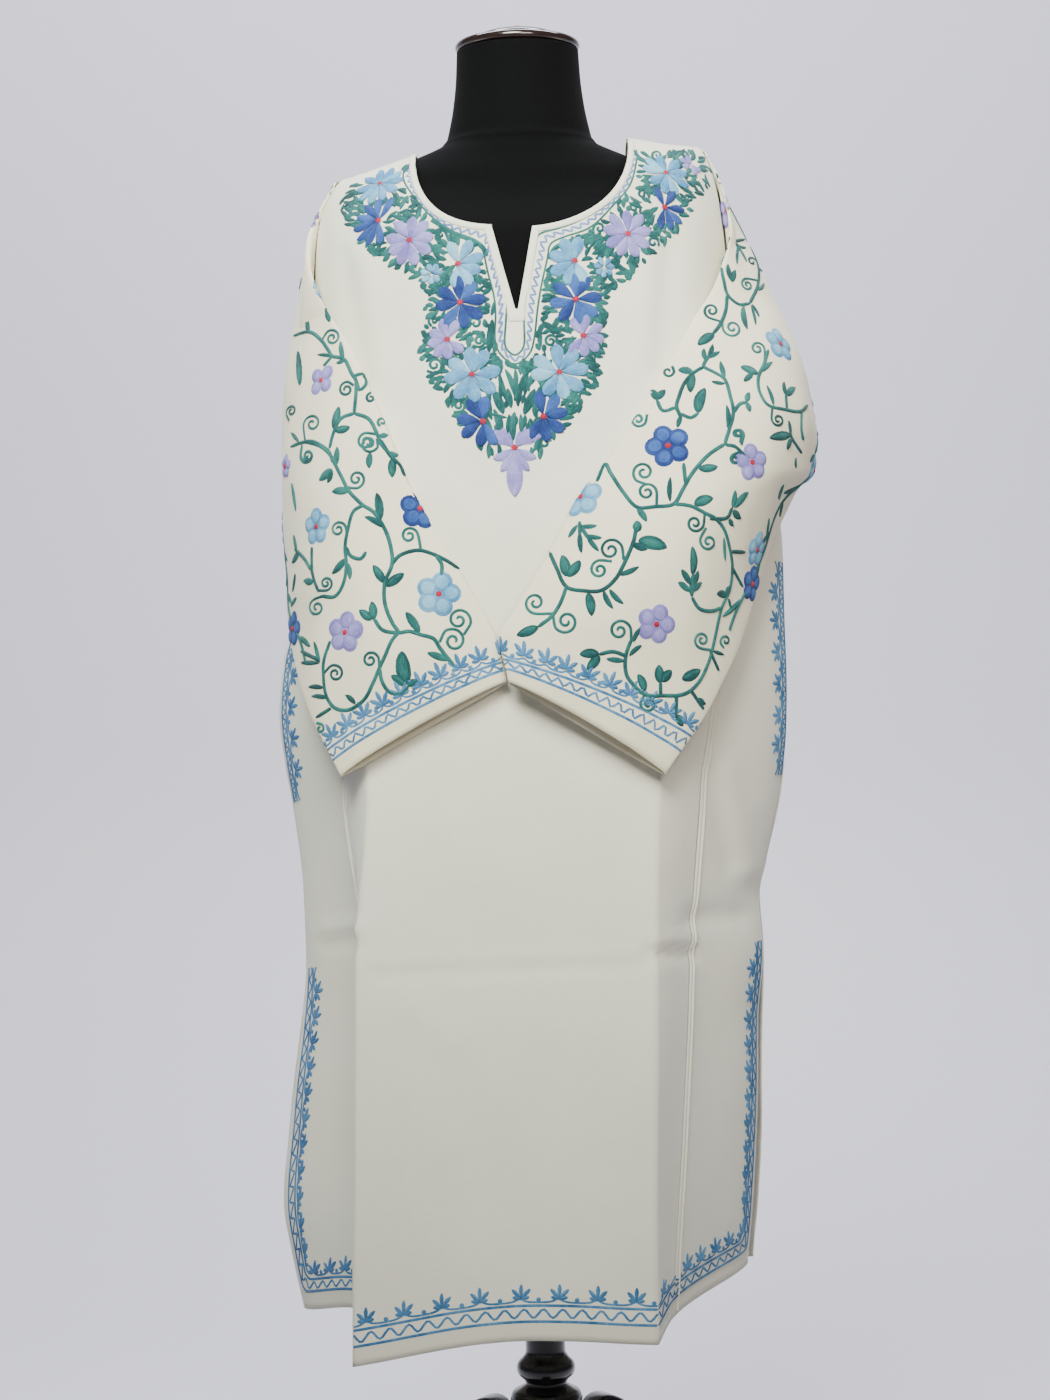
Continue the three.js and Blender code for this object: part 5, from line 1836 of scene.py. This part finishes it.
DAISIES = [
    (-125, 1420, 22.6, "sky", 10),
    (-126, 1383, 23.9, "navy", (70, 100, 135, 165, 195, 222, 250, 280)),
    (-98, 1362, 22.2, "lavender", 9),
    (-55, 1338, 22.0, "sky", (112, 62, 18, -18, -58, -98)),
    (-79, 1330, 9.8, "sky", 7),
    (-54, 1303, 22.7, "navy", 8),
    (-66, 1270, 17.9, "lavender", (62, 105, 150, 192, 232, 272, 318)),
    (-45, 1238, 24.6, "sky", 8),
    (-36, 1196, 22.2, "navy", (84, 126, 172, 215, 262, 300)),
    (17, 1199, 22.0, "navy", (96, 56, 12, -38, -82, -120)),
    (32, 1238, 24.6, "sky", 8),
    (48, 1338, 22.4, "sky", (78, 118, 165, 208, 250, 292)),
    (74, 1332, 9.4, "sky", 7),
    (48, 1303, 22.4, "navy", 8),
    (96, 1363, 22.4, "lavender", 9),
    (130, 1389, 20.7, "navy", (102, 50, -4, -42, -78, -108)),
    (133, 1423, 22.4, "sky", 9),
    (157, 1434, 10.4, "lavender", (140, 80, -30, -80, 200)),
    (54, 1270, 18.0, "lavender", (120, 78, 30, -10, -50, -88, -130)),
]
YOKE_OUTLINE = [
    (-91, 1441), (-121, 1434), (-154, 1427), (-165, 1406), (-158, 1381), (-146, 1363), (-133, 1351),
    (-121, 1339),
    (-108, 1330), (-92, 1322), (-86, 1307), (-90, 1280), (-94, 1260), (-88, 1242), (-84, 1230),
    (-74, 1215),
    (-64, 1198), (-55, 1184), (-41, 1169), (-22, 1160), (-9, 1156), (4, 1161), (20, 1168), (33, 1182),
    (42, 1192), (57, 1213), (70, 1227), (73, 1246), (79, 1262), (76, 1286), (82, 1310), (99, 1321),
    (114, 1338), (127, 1350), (140, 1362), (154, 1381), (164, 1400), (177, 1415), (179, 1431),
    (172, 1450),
    (159, 1454), (111, 1447), (100, 1447), (105, 1434), (101, 1409), (87, 1392), (64, 1368), (27, 1355),
    (24, 1341), (18, 1316), (11, 1271), (8, 1257), (-8, 1246), (-21, 1256), (-24, 1269), (-23, 1290),
    (-24, 1305), (-29, 1329), (-35, 1354), (-36, 1358), (-58, 1366), (-81, 1386), (-98, 1410),
    (-104, 1424),
    (-104, 1440),
]
INNER_NECK_LINE = [
    (-94, 1440), (-93, 1421), (-88, 1403), (-80, 1391), (-68, 1380), (-55, 1374), (-40, 1371),
    (-28, 1368),
    (-25, 1366), (-23, 1356), (-19, 1337), (-15, 1316), (-13, 1301), (-14, 1285), (-15, 1262),
    (-7, 1254),
    (1, 1261), (2, 1284), (4, 1306), (7, 1321), (11, 1338), (14, 1353), (16, 1362), (22, 1365),
    (34, 1368), (51, 1374), (74, 1387), (88, 1402), (96, 1416), (101, 1433), (102, 1446),
]
OUTER_NECK_LINE = [
    (-103, 1437), (-104, 1424), (-98, 1410), (-81, 1386), (-58, 1366), (-39, 1359), (-34, 1353),
    (-29, 1329),
    (-24, 1307), (-23, 1290), (-24, 1269), (-20, 1256), (-7, 1246), (6, 1255), (11, 1271), (14, 1294),
    (18, 1316), (24, 1341), (27, 1354), (36, 1359), (63, 1369), (86, 1392), (100, 1410), (107, 1434),
    (108, 1447),
]


# ---------------------------------------------------------------- form and stand

def turned(name, profile, centre, material, node, steps=96):
    """A part turned on a lathe: a profile of (radius, height) spun round an upright axis."""
    bm = bmesh.new()
    middle = AXIS + Vector((centre[0], centre[1], 0)) * MM
    verts = [bm.verts.new(middle + Vector((r, 0, z)) * MM) for r, z in profile]
    edges = [bm.edges.new(pair) for pair in zip(verts, verts[1:])]
    bmesh.ops.spin(
        bm, geom=verts + edges, cent=middle, axis=(0, 0, 1), angle=2 * math.pi, steps=steps,
        use_merge=True, use_duplicate=False,
    )
    bmesh.ops.remove_doubles(bm, verts=bm.verts[:], dist=1e-6)
    bmesh.ops.recalc_face_normals(bm, faces=bm.faces[:])
    piece = new_piece(name, bm, material)
    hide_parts(node)
    return piece


def shown(rows, step):
    """A profile's (radius, height) rows as a rounded curve."""
    points = rounded([Vector(row) for row in rows], step)
    return [(max(0, p.x), p.y) for p in points]


def form_torso():
    """Torso and neck: oval sections lofted from the hips to the neck's top."""
    curves = curves_of(FORM_SECTIONS, "z")
    heights = sorted({*even(40, 792, 1400), *even(70, 1400, 1552)})
    sides = 96
    bm = bmesh.new()
    bmesh.ops.create_grid(bm, x_segments=sides, y_segments=len(heights) - 1, size=0.5)
    for vert in bm.verts:
        angle = (vert.co.x + 0.5) * 2 * math.pi
        z = heights[round((vert.co.y + 0.5) * (len(heights) - 1))]
        power = 2 / curves["power"](z)
        x = math.copysign(abs(math.cos(angle)) ** power, math.cos(angle))
        y = math.copysign(abs(math.sin(angle)) ** power, math.sin(angle))
        lean = NECK_AXIS[0] * smoothstep(clamp((z - 1400) / 80))
        x = curves["halfWidth"](z) * x + lean
        y = curves["halfDepth"](z) * y + curves["centreY"](z)
        vert.co = in_metres(Vector((x, y, z)))
    bmesh.ops.remove_doubles(bm, verts=bm.verts[:], dist=1e-6)
    rims = [e for e in bm.edges if e.is_boundary]
    bmesh.ops.holes_fill(bm, edges=rims, sides=0)
    bmesh.ops.recalc_face_normals(bm, faces=bm.faces[:])
    piece = new_piece("form_torso_jersey", bm, JERSEY)
    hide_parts("form_torso")
    return piece


CAP_PROFILE = [
    (0, 1552.4), (54, 1552.4), (57.5, 1554.5), (58, 1557.5), (55.5, 1560.5),
    (40, 1563.5), (37, 1566.5), (30, 1569.5), (16, 1572), (0, 1572.6),
]
PIN_PROFILE = [(0, 1572.9), (3.2, 1572.9), (3.2, 1575), (2, 1577), (0, 1577.6)]
POLE_PROFILE = [
    (0, 206), (17, 206), (22, 211), (24, 218), (34, 224), (36, 240), (36, 282), (33, 290),
    (31, 296), (33.5, 302), (31, 309), (24, 313), (19.2, 316.5), (21, 320), (26, 325), (27.3, 330),
    (26, 335.5), (21, 341), (18.5, 346), (18.5, 791.7), (0, 791.7),
]
LEG_OUTLINE = [
    (36.35, 232), (36.35, 276), (44, 290), (54, 297), (66, 297), (82, 288), (104, 262), (128, 212),
    (150, 152), (176, 98), (206, 58), (232, 36), (250, 24), (256, 12), (252, 0), (226, 0),
    (218, 12), (196, 26), (168, 48), (140, 88), (116, 140), (96, 190), (80, 216), (62, 230),
]
LEG_WIDTH = 30
LEG_ANGLES = {"leg_front": -90, "leg_back_left": 150, "leg_back_right": 30}


def leg(name, degrees):
    """A leg sawn from a board to its outline, with well rounded edges."""
    bm = bmesh.new()
    smooth = rounded([Vector(p) for p in LEG_OUTLINE[1:14]], 6) + rounded(
        [Vector(p) for p in LEG_OUTLINE[15:]] + [Vector(LEG_OUTLINE[0])], 6)
    verts = [bm.verts.new(Vector((p.x, -LEG_WIDTH / 2, p.y)) * MM) for p in smooth]
    extruded = bmesh.ops.extrude_face_region(bm, geom=[bm.faces.new(verts)])
    moved = [v for v in extruded["geom"] if isinstance(v, bmesh.types.BMVert)]
    bmesh.ops.translate(bm, verts=moved, vec=(0, LEG_WIDTH * MM, 0))
    bmesh.ops.recalc_face_normals(bm, faces=bm.faces[:])
    rims = [e for e in bm.edges if abs(e.verts[0].co.y - e.verts[1].co.y) < 1e-6]
    bmesh.ops.bevel(
        bm, geom=rims, offset=5.5 * MM, segments=4, affect="EDGES", profile=0.5, material=-1,
        clamp_overlap=True,
    )
    bmesh.ops.rotate(bm, verts=bm.verts[:], matrix=Matrix.Rotation(math.radians(degrees), 3, "Z"))
    bmesh.ops.translate(bm, verts=bm.verts[:], vec=AXIS)
    piece = new_piece(f"{name}_lacquered", bm, STAND_LACQUER)
    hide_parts(name)
    return piece


# ---------------------------------------------------------------- building

front_panel()
back_panel()
for side in ("left", "right"):
    gore(side, "front")
    gore(side, "back")
for side in ("left", "right"):
    sleeve(side)
for half in ("front", "back"):
    binding(half)
for side in ("left", "right"):
    pocket_bag(side)
form_torso()
turned("neck_cap_lacquered", shown(CAP_PROFILE, 1.5), NECK_AXIS, CAP_LACQUER, "neck_cap")
turned("cap_pin_brass", shown(PIN_PROFILE, 0.5), NECK_AXIS, BRASS, "cap_pin", 32)
turned("stand_pole_lacquered", shown(POLE_PROFILE, 2), (0, 0), STAND_LACQUER, "stand_pole")
for name, degrees in LEG_ANGLES.items():
    leg(name, degrees)

embroider()
STITCHED = finish_stitches()


# ---------------------------------------------------------------- studio

def backdrop():
    """Pale floor that sweeps up into a pale wall."""
    material, shader = new_material("pale backdrop paper", Roughness=0.9)
    coordinates = add_node(material, "ShaderNodeTexCoord").outputs["Object"]
    mottle = add_node(
        material, "ShaderNodeTexNoise", {"Vector": coordinates, "Scale": 0.8, "Detail": 1.0}
    ).outputs["Fac"]
    link(material, mixed(material, mottle, "#D6D6DC", "#DCDADF"), shader, "Base Color")
    bm = bmesh.new()
    profile = [Vector(place) for place in ((-5, 0), (1, 0), (2.8, 0), (3.6, 0.8), (3.6, 6))]
    points = rounded(profile, 0.1)
    verts = [bm.verts.new((-6, AXIS.y + p.x, p.y)) for p in points]
    edges = [bm.edges.new(pair) for pair in zip(verts, verts[1:])]
    extruded = bmesh.ops.extrude_edge_only(bm, edges=edges)
    moved = [v for v in extruded["geom"] if isinstance(v, bmesh.types.BMVert)]
    bmesh.ops.translate(bm, verts=moved, vec=(12, 0, 0))
    bmesh.ops.recalc_face_normals(bm, faces=bm.faces[:])
    mesh = bpy.data.meshes.new("backdrop")
    bm.to_mesh(mesh)
    bm.free()
    mesh.shade_smooth()
    mesh.materials.append(material)
    floor = bpy.data.objects.new("backdrop", mesh)
    bpy.context.collection.objects.link(floor)


def soft_light(name, place, target, size, power, colour, spread=180):
    lamp = bpy.data.lights.new(name, "AREA")
    lamp.shape = "RECTANGLE"
    lamp.size, lamp.size_y = size
    lamp.energy = power
    lamp.spread = math.radians(spread)
    lamp.color = linear(colour)[:3]
    holder = bpy.data.objects.new(name, lamp)
    holder.location = place
    holder.rotation_euler = (Vector(target) - Vector(place)).to_track_quat("-Z", "Y").to_euler()
    bpy.context.collection.objects.link(holder)


CAMERA_DISTANCE = 2.6
CAMERA_HEIGHT = 0.95
CAMERA_LEAN = math.atan(0.02336)
FOCAL_SHARE = 2800 / 1400    # focal length over the frame's height


def camera():
    """Level camera in front of the form, turned a little about its own line of sight."""
    lens = bpy.data.cameras.new("camera")
    lens.sensor_fit = "VERTICAL"
    lens.sensor_height = 24
    lens.lens = FOCAL_SHARE * lens.sensor_height
    holder = bpy.data.objects.new("camera", lens)
    turn = Matrix.Rotation(math.radians(90), 4, "X") @ Matrix.Rotation(-CAMERA_LEAN, 4, "Z")
    place = Vector((AXIS.x - 0.005, AXIS.y - CAMERA_DISTANCE, CAMERA_HEIGHT))
    holder.matrix_world = Matrix.Translation(place) @ turn
    bpy.context.collection.objects.link(holder)
    bpy.context.scene.camera = holder


def studio():
    backdrop()
    middle = (AXIS.x, AXIS.y, 1.4)
    soft_light("window light", (-0.35, -1.75, 2.45), middle, (1.0, 1.0), 18.5, "#F3FAF2", 62)
    soft_light("lamp light", (0.6, -2.2, 2.0), middle, (0.9, 1.0), 6, "#FFF4E2", 62)
    soft_light("wall light", (0.0, 1.0, 4.2), (0, 3.6, 1.0), (4.0, 1.0), 300, "#F4F4FF")
    world = bpy.data.worlds.new("studio air")
    world.use_nodes = True
    air = world.node_tree.nodes["Background"]
    air.inputs["Color"].default_value = linear("#E6E8EE")
    air.inputs["Strength"].default_value = 0.14
    bpy.context.scene.world = world
    camera()


studio()

# ---------------------------------------------------------------- how each sheet was cut

# Each piece's greatest width and length and its area, in metres, all round on a sleeve
CUTS = {
    "front_panel": (0.512, 1.155, 0.425, "draped"),
    "back_panel": (0.505, 1.165, 0.448, "draped"),
    "front_gore_left": (0.14, 0.812, 0.085, "hung"),
    "back_gore_left": (0.114, 0.818, 0.077, "hung"),
    "front_gore_right": (0.154, 0.808, 0.093, "hung"),
    "back_gore_right": (0.118, 0.808, 0.075, "hung"),
    "sleeve_left": (0.514, 0.552, 0.169, "folded"),
    "sleeve_right": (0.554, 0.612, 0.208, "folded"),
}
for name, (width, length, area, held) in CUTS.items():
    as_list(STITCHED[name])
